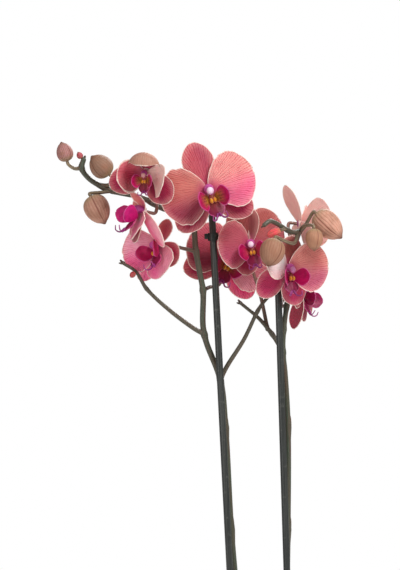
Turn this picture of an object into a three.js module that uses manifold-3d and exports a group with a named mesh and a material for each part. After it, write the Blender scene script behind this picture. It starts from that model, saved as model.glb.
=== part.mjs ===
// Potted moth orchid with two flower spikes, each carried by a stake.
// Millimetres, +Z up. The origin is the centre of the pot's underside, +X is to the right of the
// side that the flowers face, and that side looks along -Y.
// A bloom has its own frame: x to its right, y towards its dorsal sepal, z out of its face.
import * as THREE from "three";
import { mergeVertices } from "three/addons/utils/BufferGeometryUtils.js";
import Module from "manifold-3d";

const wasm = await Module();
wasm.setup();

// Driving dimensions of the pot and its filling.
const POT = { height: 110, base: 42, rim: 60, wall: 2.2, floor: 3, band: 16, lip: 2.6, sides: 24 };
const DRAIN = { count: 6, radius: 4, circle: 27, sides: 6 };
const BARK = { top: 95, mound: 6, chips: 10, least: 18, most: 28 };
const CROWN = { radius: 9.5, foot: 62, top: 146 };
const ROOT_RADIUS = 2.5;
const SEAT = 0.4; // the gap between two pieces that rest on each other

// Driving dimensions of the stakes and their clips.
const STAKE = { radius: 2.75, length: 500 };
const CLIP = { height: 6.4, wall: 1.1, tab: 3.4, tabHeight: 4.4 };

// Driving dimensions of a full bloom's tepals. direction is from the bloom's x axis, base is the
// height of the claw, lift tips a tepal towards the bloom's face, arch is how far its tip turns
// back, cup how far its long edges turn forward, and twist turns it about its own length. Angles
// are in degrees. fullness and widest shape the outline.
const PETAL = {
  length: 38, width: 46, fullness: 0.55, widest: 1.15, lift: 12, arch: 24, cup: 14, base: 0.9,
  rows: 5, columns: 4,
};
const SEPAL = {
  length: 39, width: 26, fullness: 0.55, widest: 1.25, lift: 2, arch: 12, cup: -24, base: -0.4,
  rows: 4, columns: 2,
};
const TEPALS = {
  dorsal: { ...SEPAL, direction: 90 },
  sepal_left: { ...SEPAL, direction: 217 },
  sepal_right: { ...SEPAL, direction: -37 },
  petal_left: { ...PETAL, direction: 177, ruffle: 0.8 },
  petal_right: { ...PETAL, direction: 3, ruffle: 0.8 },
};
const TEPAL = { thickness: 0.9, claw: 2.2, twist: 0 };

const radians = THREE.MathUtils.degToRad;
const vector = (p) => new THREE.Vector3(...p);

// A closed three.js geometry as a solid that can be cut and joined.
function solid(geometry, matrix) {
  const bare = geometry.index ? geometry.toNonIndexed() : geometry.clone();
  if (matrix) bare.applyMatrix4(matrix);
  const points = new THREE.BufferGeometry().setAttribute("position", bare.getAttribute("position"));
  const merged = mergeVertices(points, 1e-3);
  return new wasm.Manifold(
    new wasm.Mesh({
      numProp: 3,
      vertProperties: merged.attributes.position.array,
      triVerts: new Uint32Array(merged.index.array),
    }),
  );
}

// A joined solid as a three.js geometry again.
function geometryOf(made) {
  const mesh = made.getMesh();
  const positions = new Float32Array(mesh.numVert * 3);
  for (let i = 0; i < mesh.numVert; i++)
    positions.set(mesh.vertProperties.subarray(i * mesh.numProp, i * mesh.numProp + 3), i * 3);
  const geometry = new THREE.BufferGeometry();
  geometry.setAttribute("position", new THREE.BufferAttribute(positions, 3));
  geometry.setIndex(new THREE.BufferAttribute(mesh.triVerts, 1));
  geometry.computeVertexNormals();
  return geometry;
}

// Every solid in a list joined into one.
const join = (solids) => solids.reduce((whole, next) => whole.add(next));

// The same sequence of numbers from 0 to 1 in every run.
function seeded(seed) {
  let state = seed;
  return () => {
    state = (state * 1664525 + 1013904223) % 4294967296;
    return state / 4294967296;
  };
}

// A blade's flat point, x along it and y across it, bent by its lift, arch and cup.
function bend(blade, x, y, rise) {
  const lift = radians(blade.lift);
  const arch = radians(blade.arch) || 1e-4;
  const cup = radians(blade.cup) / blade.width || 1e-6;
  const radius = blade.length / arch;
  const here = lift - x / radius;
  const out = (1 - Math.cos(cup * y)) / cup + rise;
  return new THREE.Vector3(
    radius * (Math.sin(lift) - Math.sin(here)) - out * Math.sin(here),
    Math.sin(cup * y) / cup,
    radius * (Math.cos(here) - Math.cos(lift)) + out * Math.cos(here),
  );
}

// A closed thin blade along +x with its face up, from its claw to its blunt tip. Both faces are
// split into triangles alike.
function blade({ rows, columns, thickness, claw, fullness, widest, ruffle = 0, ...shape }) {
  const halfWidth = (s) =>
    (shape.width / 2) * Math.sin(Math.PI * s ** widest) ** fullness + claw * (1 - s) ** 6;
  const place = (s, across) => {
    const wave = ruffle * across ** 2 * Math.sin(2.5 * Math.PI * s + Math.sign(across));
    return bend(shape, s * shape.length, across * halfWidth(s), wave);
  };
  const step = 0.01;
  const positions = [];
  for (const side of [0.5, -0.5])
    for (let i = 0; i <= rows; i++)
      for (let j = 0; j <= columns; j++) {
        const s = (0.985 * (1 - Math.cos((Math.PI * i) / rows))) / 2;
        const across = (2 * j) / columns - 1;
        const low = Math.max(s - step, 0);
        const along = place(s + step, 0).sub(place(low, 0));
        const sideways = place(s, across + step).sub(place(s, across - step));
        const normal = along.cross(sideways).normalize();
        positions.push(...place(s, across).addScaledVector(normal, side * thickness));
      }
  const width = columns + 1;
  const layer = (rows + 1) * width;
  const index = [];
  const quad = (a, b, c, d) => index.push(a, b, c, a, c, d);
  for (let i = 0; i < rows; i++)
    for (let j = 0; j < columns; j++) {
      const a = i * width + j;
      quad(a, a + width, a + width + 1, a + 1);
      quad(layer + a, layer + a + 1, layer + a + width + 1, layer + a + width);
    }
  const edge = [];
  for (let j = 0; j < columns; j++) edge.push(j);
  for (let i = 0; i < rows; i++) edge.push(i * width + columns);
  for (let j = columns; j > 0; j--) edge.push(rows * width + j);
  for (let i = rows; i > 0; i--) edge.push(i * width);
  edge.forEach((a, k) => {
    const b = edge[(k + 1) % edge.length];
    quad(a, b, layer + b, layer + a);
  });
  const geometry = new THREE.BufferGeometry();
  geometry.setAttribute("position", new THREE.BufferAttribute(new Float32Array(positions), 3));
  geometry.setIndex(index);
  return geometry;
}

// A matrix that carries a blade's start, length and face to a place and two directions.
function placed(start, along, face) {
  const x = vector(along).normalize();
  const z = vector(face).projectOnPlane(x).normalize();
  return new THREE.Matrix4().makeBasis(x, z.clone().cross(x), z).setPosition(...start);
}

// A round limb along a smooth curve: a cylinder bent along it, with its radius from start to end.
function limb(points, start, end, { sides = 6, steps = 2 } = {}) {
  const rows = steps * (points.length - 1);
  const curve = new THREE.CatmullRomCurve3(points.map(vector), false, "centripetal");
  const centres = curve.getPoints(rows);
  const normals = [];
  const shares = [0];
  let normal = new THREE.Vector3(1, 0.2, 0.1);
  centres.forEach((centre, i) => {
    normal = normal.projectOnPlane(curve.getTangent(i / rows)).normalize();
    normals.push(normal.clone());
    if (i) shares.push(shares[i - 1] + centre.distanceTo(centres[i - 1]));
  });
  const geometry = new THREE.CylinderGeometry(1, 1, 1, sides, rows);
  const position = geometry.attributes.position;
  for (let k = 0; k < position.count; k++) {
    const i = Math.round((0.5 - position.getY(k)) * rows);
    const radius = THREE.MathUtils.lerp(start, end, shares[i] / shares[rows]);
    const binormal = curve.getTangent(i / rows).cross(normals[i]);
    const place = centres[i]
      .clone()
      .addScaledVector(normals[i], position.getX(k) * radius)
      .addScaledVector(binormal, position.getZ(k) * radius);
    position.setXYZ(k, place.x, place.y, place.z);
  }
  return solid(geometry);
}

// A ball with three radii at a place.
const ball = (radii, at, around = 6, down = 4) =>
  solid(new THREE.SphereGeometry(1, around, down).scale(...radii).translate(...at));

const part = new THREE.Group();
const finish = (color, roughness = 0.6) =>
  new THREE.MeshStandardMaterial({ color, roughness, metalness: 0 });
const FINISH = {
  pot: finish(0xb9aa9a, 0.55),
  bark: finish(0x6b432c, 0.9),
  crown: finish(0x5c7a3a),
  leaf: finish(0x2f5a2c, 0.4),
  root: finish(0xa9ab93, 0.75),
  spike: finish(0x5d5b47),
  stake: finish(0x3c423e, 0.5),
  clip: finish(0x1c2320, 0.45),
  tepals: finish(0xd4707b),
  lip: finish(0xb0184f, 0.5),
  bud: finish(0xb98f76),
  young_bud: finish(0xc9505c, 0.5),
};

// Adds a named mesh to a group, the whole part by default.
function add(name, made, material, group = part) {
  const mesh = new THREE.Mesh(made.isBufferGeometry ? made : geometryOf(made), material);
  mesh.name = name;
  group.add(mesh);
  return mesh;
}

// Where each bloom's centre is, how far it is turned to the right (yaw), up (pitch) and in its own
// plane against the clock (roll), in degrees, its size against a full one, how its lip differs
// (size, yaw, pitch and how far out it stands), and the tepals that differ from a full bloom's.
const CUPPED = { lift: 30, arch: 16 };
const BLOOMS = {
  bloom_1: { at: [-97, -36, 595], yaw: -12, pitch: -15, roll: 0, size: 0.84,
    lip: { size: 0.78, pitch: 6, out: 3 },
    change: {
      dorsal: { direction: 85, length: 44, width: 41, fullness: 0.4, widest: 1.6, lift: -36, arch: -205,
        cup: 154, rows: 5, columns: 4 },
      petal_left: { direction: 186, length: 30, width: 33, lift: 14, arch: -50, cup: 50 },
      petal_right: { direction: -22, length: 30, width: 35, fullness: 0.86, widest: 1.02, lift: -7.7,
        arch: 71.4, cup: 15.4, twist: 195, ruffle: 0 },
      sepal_left: { direction: 201, length: 38, width: 27, lift: 2 },
      sepal_right: { direction: -50, length: 35, width: 28, lift: 16 } } },
  bloom_2: { at: [-99, -30, 564.5], yaw: -70, pitch: 8, roll: 0, size: 0.88, lip: { pitch: 14 },
    change: { dorsal: { length: 22, lift: 8, arch: -75, cup: 40 },
      petal_left: { direction: 204, length: 30, width: 34 },
      petal_right: { direction: -75, length: 28, width: 30, lift: 7, arch: -22 },
      sepal_right: { direction: -74, length: 36, width: 21, widest: 0.95, lift: -29 } } },
  bloom_3: { at: [-86.5, -10, 538.5], yaw: -46, pitch: 0, roll: 18, size: 0.86, lip: { pitch: 8 },
    change: { dorsal: { direction: 66, length: 24, width: 20, lift: -12 },
      petal_left: { lift: 24, arch: 10, width: 40 },
      petal_right: { direction: -86, length: 34, width: 38, lift: 8, arch: -20 },
      sepal_left: { lift: 14 }, sepal_right: { direction: -58, length: 24, lift: -5 } } },
  bloom_4: { at: [-48, -28, 582], yaw: 6, pitch: 0, roll: 20, size: 1,
    change: { dorsal: { length: 38 }, sepal_right: { direction: -46 } } },
  bloom_5: { at: [-31.5, 27, 528.5], yaw: 14, pitch: 0, roll: -22, size: 0.95 },
  bloom_6: { at: [-14, 10, 539.5], yaw: 27, pitch: 0, roll: 14, size: 0.85, lip: { yaw: -28, pitch: 12, out: 1 },
    change: { dorsal: { direction: 97, width: 32, lift: 14, twist: -25 },
      petal_left: { direction: 168, length: 34.5 }, petal_right: { direction: 26 },
      sepal_left: { direction: 247, length: 29 } } },
  bloom_7: { at: [15, -8, 520], yaw: 36, pitch: 0, roll: 0, size: 0.87, lip: { yaw: -12, out: 1.5 },
    change: { petal_left: { ...CUPPED, direction: 172, width: 27 }, petal_right: CUPPED,
      dorsal: { direction: 70, length: 30 }, sepal_right: { direction: -64, length: 36, width: 30 } } },
  bloom_8: { at: [28, 43, 501.5], yaw: 70, pitch: 0, roll: -10, size: 0.8,
    change: { sepal_left: { direction: 275, lift: -4, twist: -50 } } },
  bloom_9: { at: [26.5, 20, 556], yaw: 100, pitch: 0, roll: 0, size: 0.85,
    change: { petal_left: { lift: 28, arch: -22 }, petal_right: { ...CUPPED, length: 34, width: 36 },
      dorsal: { width: 21, lift: -22, arch: 8, twist: 25 }, sepal_left: { lift: 12, arch: -14 } } },
};

// Closed buds: the base at the pedicel, the tip, and the width.
const BUDS = {
  bud_1: { base: [-159.8, -15, 604.6], tip: [-164.5, -15, 619.5], width: 13 },
  bud_2: { base: [-126, -18.5, 593.8], tip: [-140, -22, 608], width: 18 },
  bud_3: { base: [-141.3, -12.8, 577], tip: [-130, -16, 555.5], width: 20 },
  bud_4: { base: [37.6, -17, 563.2], tip: [57, -25, 544], width: 20.5 },
  bud_5: { base: [34.8, -37, 550.5], tip: [35.2, -41, 533.5], width: 13.6 },
  bud_6: { base: [4.4, -42, 542], tip: [-1, -50, 521.5], width: 19.5 },
  young_bud_1: { base: [-148.6, -12, 607], tip: [-151.5, -13, 612], width: 5 },
  young_bud_2: { base: [9, -31, 549.5], tip: [-2, -33, 545], width: 6.6 },
  young_bud_3: { base: [-106.5, -11, 516.5], tip: [-109.5, -14, 512.5], width: 4.6 },
};

// The last two points of a pedicel: one straight behind what it carries, and one just short of it.
function seatOf(name) {
  const bloom = BLOOMS[name];
  if (bloom) {
    const [yaw, pitch] = [radians(bloom.yaw), radians(bloom.pitch)];
    const face = [Math.sin(yaw) * Math.cos(pitch), -Math.cos(yaw) * Math.cos(pitch), Math.sin(pitch)];
    return [11, 3.5].map((back) => bloom.at.map((c, i) => c - face[i] * back * bloom.size));
  }
  const { base, tip } = BUDS[name];
  const axis = vector(tip).sub(vector(base)).normalize();
  return [2.2, 0.5].map((back) => vector(base).addScaledVector(axis, -back).toArray());
}

// Each spike is one grown stem: its main stem, its side branches, and a pedicel to each bloom and
// bud, which leaves the stem at its first point.
const SPIKES = {
  spike_left: {
    main: [[-13.2, 1.5, 113], [-18, 4, 135], [-22, 6.5, 220], [-29.5, 6.5, 310], [-34, 6.5, 392],
      [-38, 7, 430], [-49.5, 6.5, 461], [-52, 5.5, 474], [-52, 4, 502], [-55, 2.5, 518], [-58, 1, 536],
      [-60, -1, 554], [-66.5, -2, 561.5], [-85.5, -6, 568], [-94, -8, 573], [-104.5, -9, 577],
      [-124.5, -9, 581.5], [-142, -11, 590.5], [-148.5, -12, 599.5], [-147, -12, 606]],
    radius: [2.9, 2.1],
    branches: [
      [[-50.5, 6, 467], [-57.5, 5, 470.5], [-78.5, 0, 486], [-97, -7, 503.5], [-105.5, -9, 517],
        [-116, -10, 524]],
      [[-38, 7, 431], [-32.5, 7.5, 441.5], [-19, 5, 463], [-8.5, 3, 485], [-4, 3, 492], [7, 8.5, 503.5]],
    ],
    pedicels: {
      bloom_1: [[-91, -7, 571.5]],
      bloom_2: [[-94, -8, 573], [-89.5, -18, 572], [-88.5, -25, 567]],
      bloom_3: [[-58, 0.5, 533.5], [-65, 1, 535]],
      bloom_4: [[-60, -1, 554]],
      bloom_5: [[-52, 4, 502], [-47, 13, 504.5], [-38, 30, 508]],
      bud_1: [[-148.5, -12, 599.5], [-154, -13, 599]],
      bud_2: [[-133, -10, 585.5], [-126, -13, 586.5]],
      bud_3: [[-124.5, -9, 581.5], [-133, -11, 580]],
    },
  },
  spike_right: {
    main: [[13.2, 1.5, 113], [15, 6, 135], [14.5, 8, 220], [16, 7, 310], [16.2, 5, 392], [14, 6, 434],
      [12.2, 6.5, 454], [12.8, 7, 470.5], [18, 10, 509], [21, 14, 534.5], [23.5, 12, 543], [25, 5, 548],
      [25, -5, 549], [23.5, -14, 548.5], [17.5, -22, 548.5], [5.5, -33, 555], [0.5, -37, 556.5],
      [-4, -40, 553.5]],
    radius: [2.85, 1.8],
    branches: [[[12.2, 6.5, 453], [3.5, 11, 467], [-7.5, 13, 480], [-22, 14, 492]]],
    pedicels: {
      bloom_6: [[0, 12, 471], [-6, 22, 500]],
      bloom_7: [[18, 10, 509]],
      bloom_8: [[16, 8, 490], [11, 26, 490]],
      bloom_9: [[21, 14, 534.5]],
      bud_4: [[25, -3, 549], [29, -7, 553]],
      bud_5: [[24.5, -9, 548.8], [28, -20, 553]],
      bud_6: [[23.5, -14, 548.5], [20, -26, 539.5], [12, -35, 541]],
      young_bud_2: [[14, -25, 550]],
    },
  },
};

// The straight line of a stake, from its foot in the bark to its top.
function stakeLine(through, top) {
  const direction = vector(top).sub(vector(through)).normalize();
  return { top: vector(top), direction, foot: vector(top).addScaledVector(direction, -STAKE.length) };
}
const STAKES = {
  left: stakeLine([-17.5, 0, 20], [-45, 0, 566]),
  right: stakeLine([23, 0, 20], [8, 0, 509.5]),
};

// A rod of a radius along a stake's axis, longer at both ends by extra.
function rod(stake, radius, extra = 0) {
  const geometry = new THREE.CylinderGeometry(radius, radius, STAKE.length + 2 * extra, 10);
  const middle = stake.foot.clone().lerp(stake.top, 0.5);
  const turn = new THREE.Quaternion().setFromUnitVectors(new THREE.Vector3(0, 1, 0), stake.direction);
  return solid(geometry, new THREE.Matrix4().compose(middle, turn, new THREE.Vector3(1, 1, 1)));
}

// The roots that loop over the bark, each a list of points that ends under its surface.
const ROOTS = {
  root_1: [[8, -8, 98], [16, -16, 102], [26, -24, 106], [35, -29, 107], [42, -24, 103], [42, -15, 90]],
  root_2: [[-8.5, -8, 98], [-19, -14, 102], [-31, -15, 107], [-40, -20, 107], [-41, -28, 100],
    [-35, -31, 89]],
  root_3: [[-5.5, 10.5, 98], [-12, 21, 103], [-15, 32, 107], [-9, 42, 105], [2, 43, 92]],
};
const rootLimb = (points, extra = 0) =>
  limb(points, ROOT_RADIUS + extra, ROOT_RADIUS * 0.9 + extra, { sides: 5 });

// The radius of the pot's outer wall at a height, under its band.
const wallAt = (z) => POT.base + ((POT.rim - POT.lip - POT.base) * z) / POT.height;

// A profile of radius and height pairs turned round +Z.
function turned(profile, sides) {
  const points = profile.map((p) => new THREE.Vector2(...p));
  return new THREE.LatheGeometry(points, sides).rotateX(Math.PI / 2);
}

function makePot() {
  const inner = wallAt(POT.height) - POT.wall;
  let made = solid(
    turned(
      [
        [0, 0],
        [POT.base, 0],
        [wallAt(POT.height - POT.band), POT.height - POT.band],
        [POT.rim - 1, POT.height - POT.band + 1],
        [POT.rim, POT.height - 1.5],
        [POT.rim - 1, POT.height],
        [inner, POT.height],
        [wallAt(POT.floor) - POT.wall, POT.floor],
        [0, POT.floor],
      ],
      POT.sides,
    ),
  );
  for (let i = 0; i < DRAIN.count; i++) {
    const angle = (2 * Math.PI * i) / DRAIN.count;
    const [x, y] = [DRAIN.circle * Math.cos(angle), DRAIN.circle * Math.sin(angle)];
    const hole = new THREE.CylinderGeometry(DRAIN.radius, DRAIN.radius, 3 * POT.floor, DRAIN.sides);
    made = made.subtract(solid(hole.rotateX(Math.PI / 2).translate(x, y, 0)));
  }
  add("pot", made, FINISH.pot);
}

// One block of bark with chips standing out of its top, and plain holes for what stands in it.
function makeBark() {
  const inside = (z) => wallAt(z) - POT.wall - SEAT;
  const bottom = POT.floor + SEAT;
  const body = [
    [0, bottom],
    [inside(bottom), bottom],
    [inside(BARK.top), BARK.top],
    [inside(BARK.top) * 0.5, BARK.top + BARK.mound * 0.7],
    [0, BARK.top + BARK.mound],
  ];
  let made = solid(turned(body, POT.sides));
  const random = seeded(7);
  const tilt = () => (random() - 0.5) * 0.8;
  for (let i = 0; i < BARK.chips; i++) {
    const far = Math.sqrt((i + 0.7) / BARK.chips) * (inside(BARK.top) - 7);
    const size = THREE.MathUtils.lerp(BARK.least, BARK.most, random());
    const chip = new THREE.BoxGeometry(size, size * (0.5 + 0.3 * random()), 5 + 3 * random());
    const height = BARK.top + BARK.mound * (1 - far / POT.base) - 1;
    const angle = i * 2.4;
    chip.rotateX(tilt()).rotateY(tilt()).rotateZ(random() * Math.PI);
    made = made.add(solid(chip.translate(far * Math.cos(angle), far * Math.sin(angle), height)));
  }
  const room = [[0, 0], [inside(0), 0], [inside(POT.height), POT.height], [0, POT.height]];
  made = made.intersect(solid(turned(room, POT.sides)));
  for (const stake of Object.values(STAKES))
    made = made.subtract(rod(stake, STAKE.radius + SEAT, SEAT));
  for (const points of Object.values(ROOTS)) made = made.subtract(rootLimb(points, SEAT));
  const well = new THREE.CylinderGeometry(CROWN.radius + 1, CROWN.radius + 1, 100, 10).rotateX(Math.PI / 2);
  made = made.subtract(solid(well.translate(0, 0, CROWN.foot - SEAT + 50)));
  const pieces = made.decompose().sort((a, b) => b.volume() - a.volume());
  add("bark", pieces[0], FINISH.bark);
}

// The short upright stem that the leaves, spikes and roots grow from, ringed by old leaf scars.
function makeCrown() {
  const rings = 3;
  const profile = [[0, CROWN.foot], [CROWN.radius * 0.8, CROWN.foot]];
  for (let i = 0; i <= rings; i++) {
    const z = THREE.MathUtils.lerp(CROWN.foot + 8, CROWN.top - 12, i / rings);
    profile.push([CROWN.radius, z], [CROWN.radius * 0.93, z + 3]);
  }
  profile.push([CROWN.radius * 0.5, CROWN.top - 2], [0, CROWN.top]);
  add("crown", turned(profile, 10), FINISH.crown);
  for (const [name, route] of Object.entries(ROOTS)) add(name, rootLimb(route), FINISH.root);
}

// The two ranks of strap leaves: heading round +Z, height of the base, and its bends, in degrees.
const LEAF = { thickness: 2.4, claw: 9, cup: 36, fullness: 0.5, widest: 1.15, rows: 7, columns: 4 };
const LEAVES = {
  leaf_1: { heading: -114, z: 112, length: 196, width: 74, lift: 28, arch: 54 },
  leaf_2: { heading: 64, z: 115, length: 205, width: 76, lift: 32, arch: 60 },
  leaf_3: { heading: -99, z: 124, length: 176, width: 70, lift: 48, arch: 64 },
  leaf_4: { heading: 78, z: 127, length: 168, width: 66, lift: 52, arch: 60 },
  leaf_5: { heading: -88, z: 136, length: 104, width: 44, lift: 70, arch: 36 },
};

function makeLeaves() {
  for (const [name, leaf] of Object.entries(LEAVES)) {
    const mesh = add(name, blade({ ...LEAF, ...leaf }), FINISH.leaf);
    const heading = radians(leaf.heading);
    const out = CROWN.radius + SEAT + LEAF.thickness * 0.3;
    mesh.position.set(out * Math.cos(heading), out * Math.sin(heading), leaf.z);
    mesh.rotation.z = heading;
  }
}

function makeSpikes() {
  for (const [name, spike] of Object.entries(SPIKES)) {
    const main = limb(spike.main, ...spike.radius, { sides: 7 });
    const branches = spike.branches.map((points) => limb(points, 2, 1.3));
    const pedicels = Object.entries(spike.pedicels).map(([end, points]) =>
      limb([...points, ...seatOf(end)], end.startsWith("young") ? 1.2 : 1.6, 1.3, { sides: 5 }),
    );
    add(name, join([main, ...branches, ...pedicels]), FINISH.spike);
  }
}

// A clip snapped round a stake, and round the stem beside it where there is one, with finger tabs.
function makeClip(name, stake, z, route) {
  const share = (z - stake.foot.z) / (stake.top.z - stake.foot.z);
  const centre = stake.foot.clone().lerp(stake.top, share);
  const loops = [{ x: 0, y: 0, radius: STAKE.radius + SEAT }];
  if (route) {
    const curve = new THREE.CatmullRomCurve3(route.map(vector), false, "centripetal");
    const beside = curve.getPoints(2000).find((p) => p.z >= z);
    loops.push({ x: beside.x - centre.x, y: beside.y, radius: 3.2 });
  }
  const ring = (loop, more, height) =>
    solid(
      new THREE.CylinderGeometry(loop.radius + more, loop.radius + more, height, 10)
        .rotateX(Math.PI / 2)
        .translate(loop.x, loop.y, 0),
    );
  const tabs = [-1, 1].map((side) => {
    const out = side * (STAKE.radius + CLIP.tab / 2 + 0.8);
    return solid(new THREE.BoxGeometry(CLIP.tab, 1.6, CLIP.tabHeight).translate(out, 0, -0.6 * side));
  });
  let made = join([...loops.map((loop) => ring(loop, CLIP.wall, CLIP.height)), ...tabs]);
  for (const loop of loops) made = made.subtract(ring(loop, 0, 3 * CLIP.height));
  const mesh = add(name, made, FINISH.clip);
  mesh.position.copy(centre);
  mesh.quaternion.setFromUnitVectors(new THREE.Vector3(0, 0, 1), stake.direction);
}

// The two petals, three sepals and the seat that they share, as one grown piece.
function tepalsOf(bloom) {
  const pieces = Object.entries(TEPALS).map(([name, full]) => {
    const shape = { ...TEPAL, ...full, ...(bloom.change?.[name] ?? {}) };
    const bent = blade(shape).rotateX(radians(shape.twist)).translate(1.2, 0, shape.base);
    return solid(bent.rotateZ(radians(shape.direction)));
  });
  return join([...pieces, ball([4.2, 4.2, 2.2], [0, 0, -0.9])]);
}

// The column, and the lip: two side lobes, a callus, a middle lobe and two tendrils at its tip.
function makeLip() {
  const lobe = (side) =>
    solid(
      blade({ length: 19.5, width: 17, fullness: 0.6, widest: 1.4, claw: 2, lift: 0, arch: -30,
        cup: 50, rows: 3, columns: 2, thickness: 1 }),
      placed([side * 2, -8, 4], [side * 0.74, -0.03, 0.67], [-side, 0.1, 1]),
    );
  const middle = solid(
    blade({ length: 16, width: 14, fullness: 0.6, widest: 1.3, claw: 2, lift: 0, arch: 14, cup: -40,
      rows: 3, columns: 2, thickness: 1.8 }),
    placed([0, -8.5, 4], [0, -0.86, 0.5], [0, 0.5, 0.86]),
  );
  const tendril = (side) =>
    limb(
      [[side * 0.8, -21, 10.5], [side * 3.4, -25, 12.5], [side * 6, -24.5, 16], [side * 5.4, -21, 18]],
      1,
      0.7,
      { sides: 3, steps: 1 },
    );
  return join([
    ball([3.8, 4.5, 4.9], [0, -0.4, 6.7]),
    ball([2.8, 5.6, 3], [0, -8, 5.5]),
    lobe(-1),
    lobe(1),
    middle,
    tendril(-1),
    tendril(1),
  ]);
}

function makeBlooms() {
  const lip = geometryOf(makeLip());
  for (const [name, bloom] of Object.entries(BLOOMS)) {
    const face = new THREE.Group();
    face.rotation.set(radians(-bloom.pitch), radians(bloom.yaw), radians(bloom.roll), "YXZ");
    face.scale.setScalar(bloom.size);
    const upright = new THREE.Group();
    upright.rotation.x = Math.PI / 2;
    upright.position.set(...bloom.at);
    upright.add(face);
    part.add(upright);
    add(name + "_tepals", tepalsOf(bloom), FINISH.tepals, face);
    const mesh = add(name + "_lip", lip, FINISH.lip, face);
    const { size = 1, yaw = 0, pitch = 0, out = 0 } = bloom.lip ?? {};
    mesh.scale.setScalar(size);
    mesh.rotation.set(radians(-pitch), radians(yaw), 0, "YXZ");
    mesh.position.z = out;
  }
}

// An egg of three sepals that meet in seams and end in a short beak.
function makeBuds() {
  for (const [name, { base, tip, width }] of Object.entries(BUDS)) {
    const young = name.startsWith("young");
    const geometry = new THREE.SphereGeometry(1, young ? 6 : 12, young ? 4 : 6);
    const position = geometry.attributes.position;
    for (let k = 0; k < position.count; k++) {
      const [x, y, z] = [position.getX(k), position.getY(k), position.getZ(k)];
      const seam = 1 + 0.035 * Math.cos(3 * Math.atan2(z, x));
      const taper = (1 - 0.16 * y - 0.1 * y ** 3) * seam;
      position.setXYZ(k, x * taper, y, z * taper);
    }
    const axis = vector(tip).sub(vector(base));
    const mesh = add(name, solid(geometry), young ? FINISH.young_bud : FINISH.bud);
    mesh.scale.set(width / 2, axis.length() / 2, width / 2);
    mesh.position.copy(vector(base)).addScaledVector(axis, 0.5);
    mesh.quaternion.setFromUnitVectors(new THREE.Vector3(0, 1, 0), axis.normalize());
  }
}

makePot();
makeBark();
makeCrown();
makeLeaves();
makeSpikes();
add("stake_left", rod(STAKES.left, STAKE.radius), FINISH.stake);
add("stake_right", rod(STAKES.right, STAKE.radius), FINISH.stake);
makeClip("clip_upper", STAKES.left, 545);
makeClip("clip_left", STAKES.left, 262, SPIKES.spike_left.main);
makeClip("clip_right", STAKES.right, 262, SPIKES.spike_right.main);
makeBlooms();
makeBuds();

export default part;
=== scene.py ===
# %% [markdown]
# # A moth orchid in its pot
# The plant was first drawn as plain solids, and they are loaded here as a fixed frame. They could
# be coloured as they are, but the frill of a petal and the seam of a bud are shapes, so this lesson
# lays a finer mesh over each solid, in the same place. Sizes are in millimetres until a piece is
# finished, when it becomes metres.

# %% Load the frame
import json
from math import atan2, cos, exp, hypot, pi, radians, sin, sqrt

import bmesh
import bpy
from mathutils import Euler, Matrix, Vector, noise


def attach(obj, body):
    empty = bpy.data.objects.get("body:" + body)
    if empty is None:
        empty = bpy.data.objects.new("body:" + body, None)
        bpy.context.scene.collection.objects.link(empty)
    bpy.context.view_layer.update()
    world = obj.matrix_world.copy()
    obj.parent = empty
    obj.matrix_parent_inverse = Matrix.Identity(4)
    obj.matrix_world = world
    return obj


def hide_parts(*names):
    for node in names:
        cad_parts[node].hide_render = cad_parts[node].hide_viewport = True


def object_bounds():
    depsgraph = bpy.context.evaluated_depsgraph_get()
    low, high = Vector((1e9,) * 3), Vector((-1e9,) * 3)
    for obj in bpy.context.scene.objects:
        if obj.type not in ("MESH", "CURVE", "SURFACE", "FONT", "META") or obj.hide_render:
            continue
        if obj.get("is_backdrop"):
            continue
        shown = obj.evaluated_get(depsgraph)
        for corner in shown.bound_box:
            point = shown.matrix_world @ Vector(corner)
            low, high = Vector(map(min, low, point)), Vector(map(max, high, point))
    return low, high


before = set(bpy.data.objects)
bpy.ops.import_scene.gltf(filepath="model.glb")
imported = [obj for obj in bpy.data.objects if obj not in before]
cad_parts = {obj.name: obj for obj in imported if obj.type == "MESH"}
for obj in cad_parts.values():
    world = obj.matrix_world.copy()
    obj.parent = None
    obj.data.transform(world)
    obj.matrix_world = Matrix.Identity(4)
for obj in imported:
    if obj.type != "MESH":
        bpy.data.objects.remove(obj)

MM = 0.001
cad_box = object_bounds()
print("solids:", len(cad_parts), "tallest point, m:", round(cad_box[1].z, 3))

# %% [markdown]
# ## Camera, light and floor
# The plant was seen from two metres away, level with its flowers. A short lens close by could frame
# it too, but that would swell the near blooms, and a long lens keeps near and far alike. The light
# is a bright studio: a large soft lamp high on the right, a weaker one on the left and one behind,
# so that the petals stay luminous and still show which way they turn.

# %% Camera
FLOWERS = Vector((-0.03, 0, 0.52))
scene = bpy.context.scene


def add_object(name, data, at=(0, 0, 0)):
    """A new object in the scene."""
    made = bpy.data.objects.new(name, data)
    made.location = at
    bpy.context.collection.objects.link(made)
    return made


long_lens = bpy.data.cameras.new("camera")
long_lens.lens = 157.9
scene.camera = add_object("camera", long_lens, (-0.0544, -2.0, 0.5064))
scene.camera.rotation_euler = (pi / 2, 0, 0)
scene.view_settings.view_transform = "Standard"
print("camera height, m:", scene.camera.location.z)


# %% Lamps
def lamp(name, at, size, power):
    """A square soft lamp that points at the flowers."""
    data = bpy.data.lights.new(name, "AREA")
    data.size, data.energy = size, power
    made = add_object(name, data, at)
    made.rotation_euler = (FLOWERS - made.location).to_track_quat("-Z", "Y").to_euler()


lamp("key_lamp", (0.8, -1.0, 1.7), 0.7, 27)
lamp("fill_lamp", (-1.3, -1.4, 0.8), 1.2, 7)
lamp("rim_lamp", (0.4, 1.5, 1.5), 0.9, 26)
print("lamps:", len(bpy.data.lights))

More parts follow.
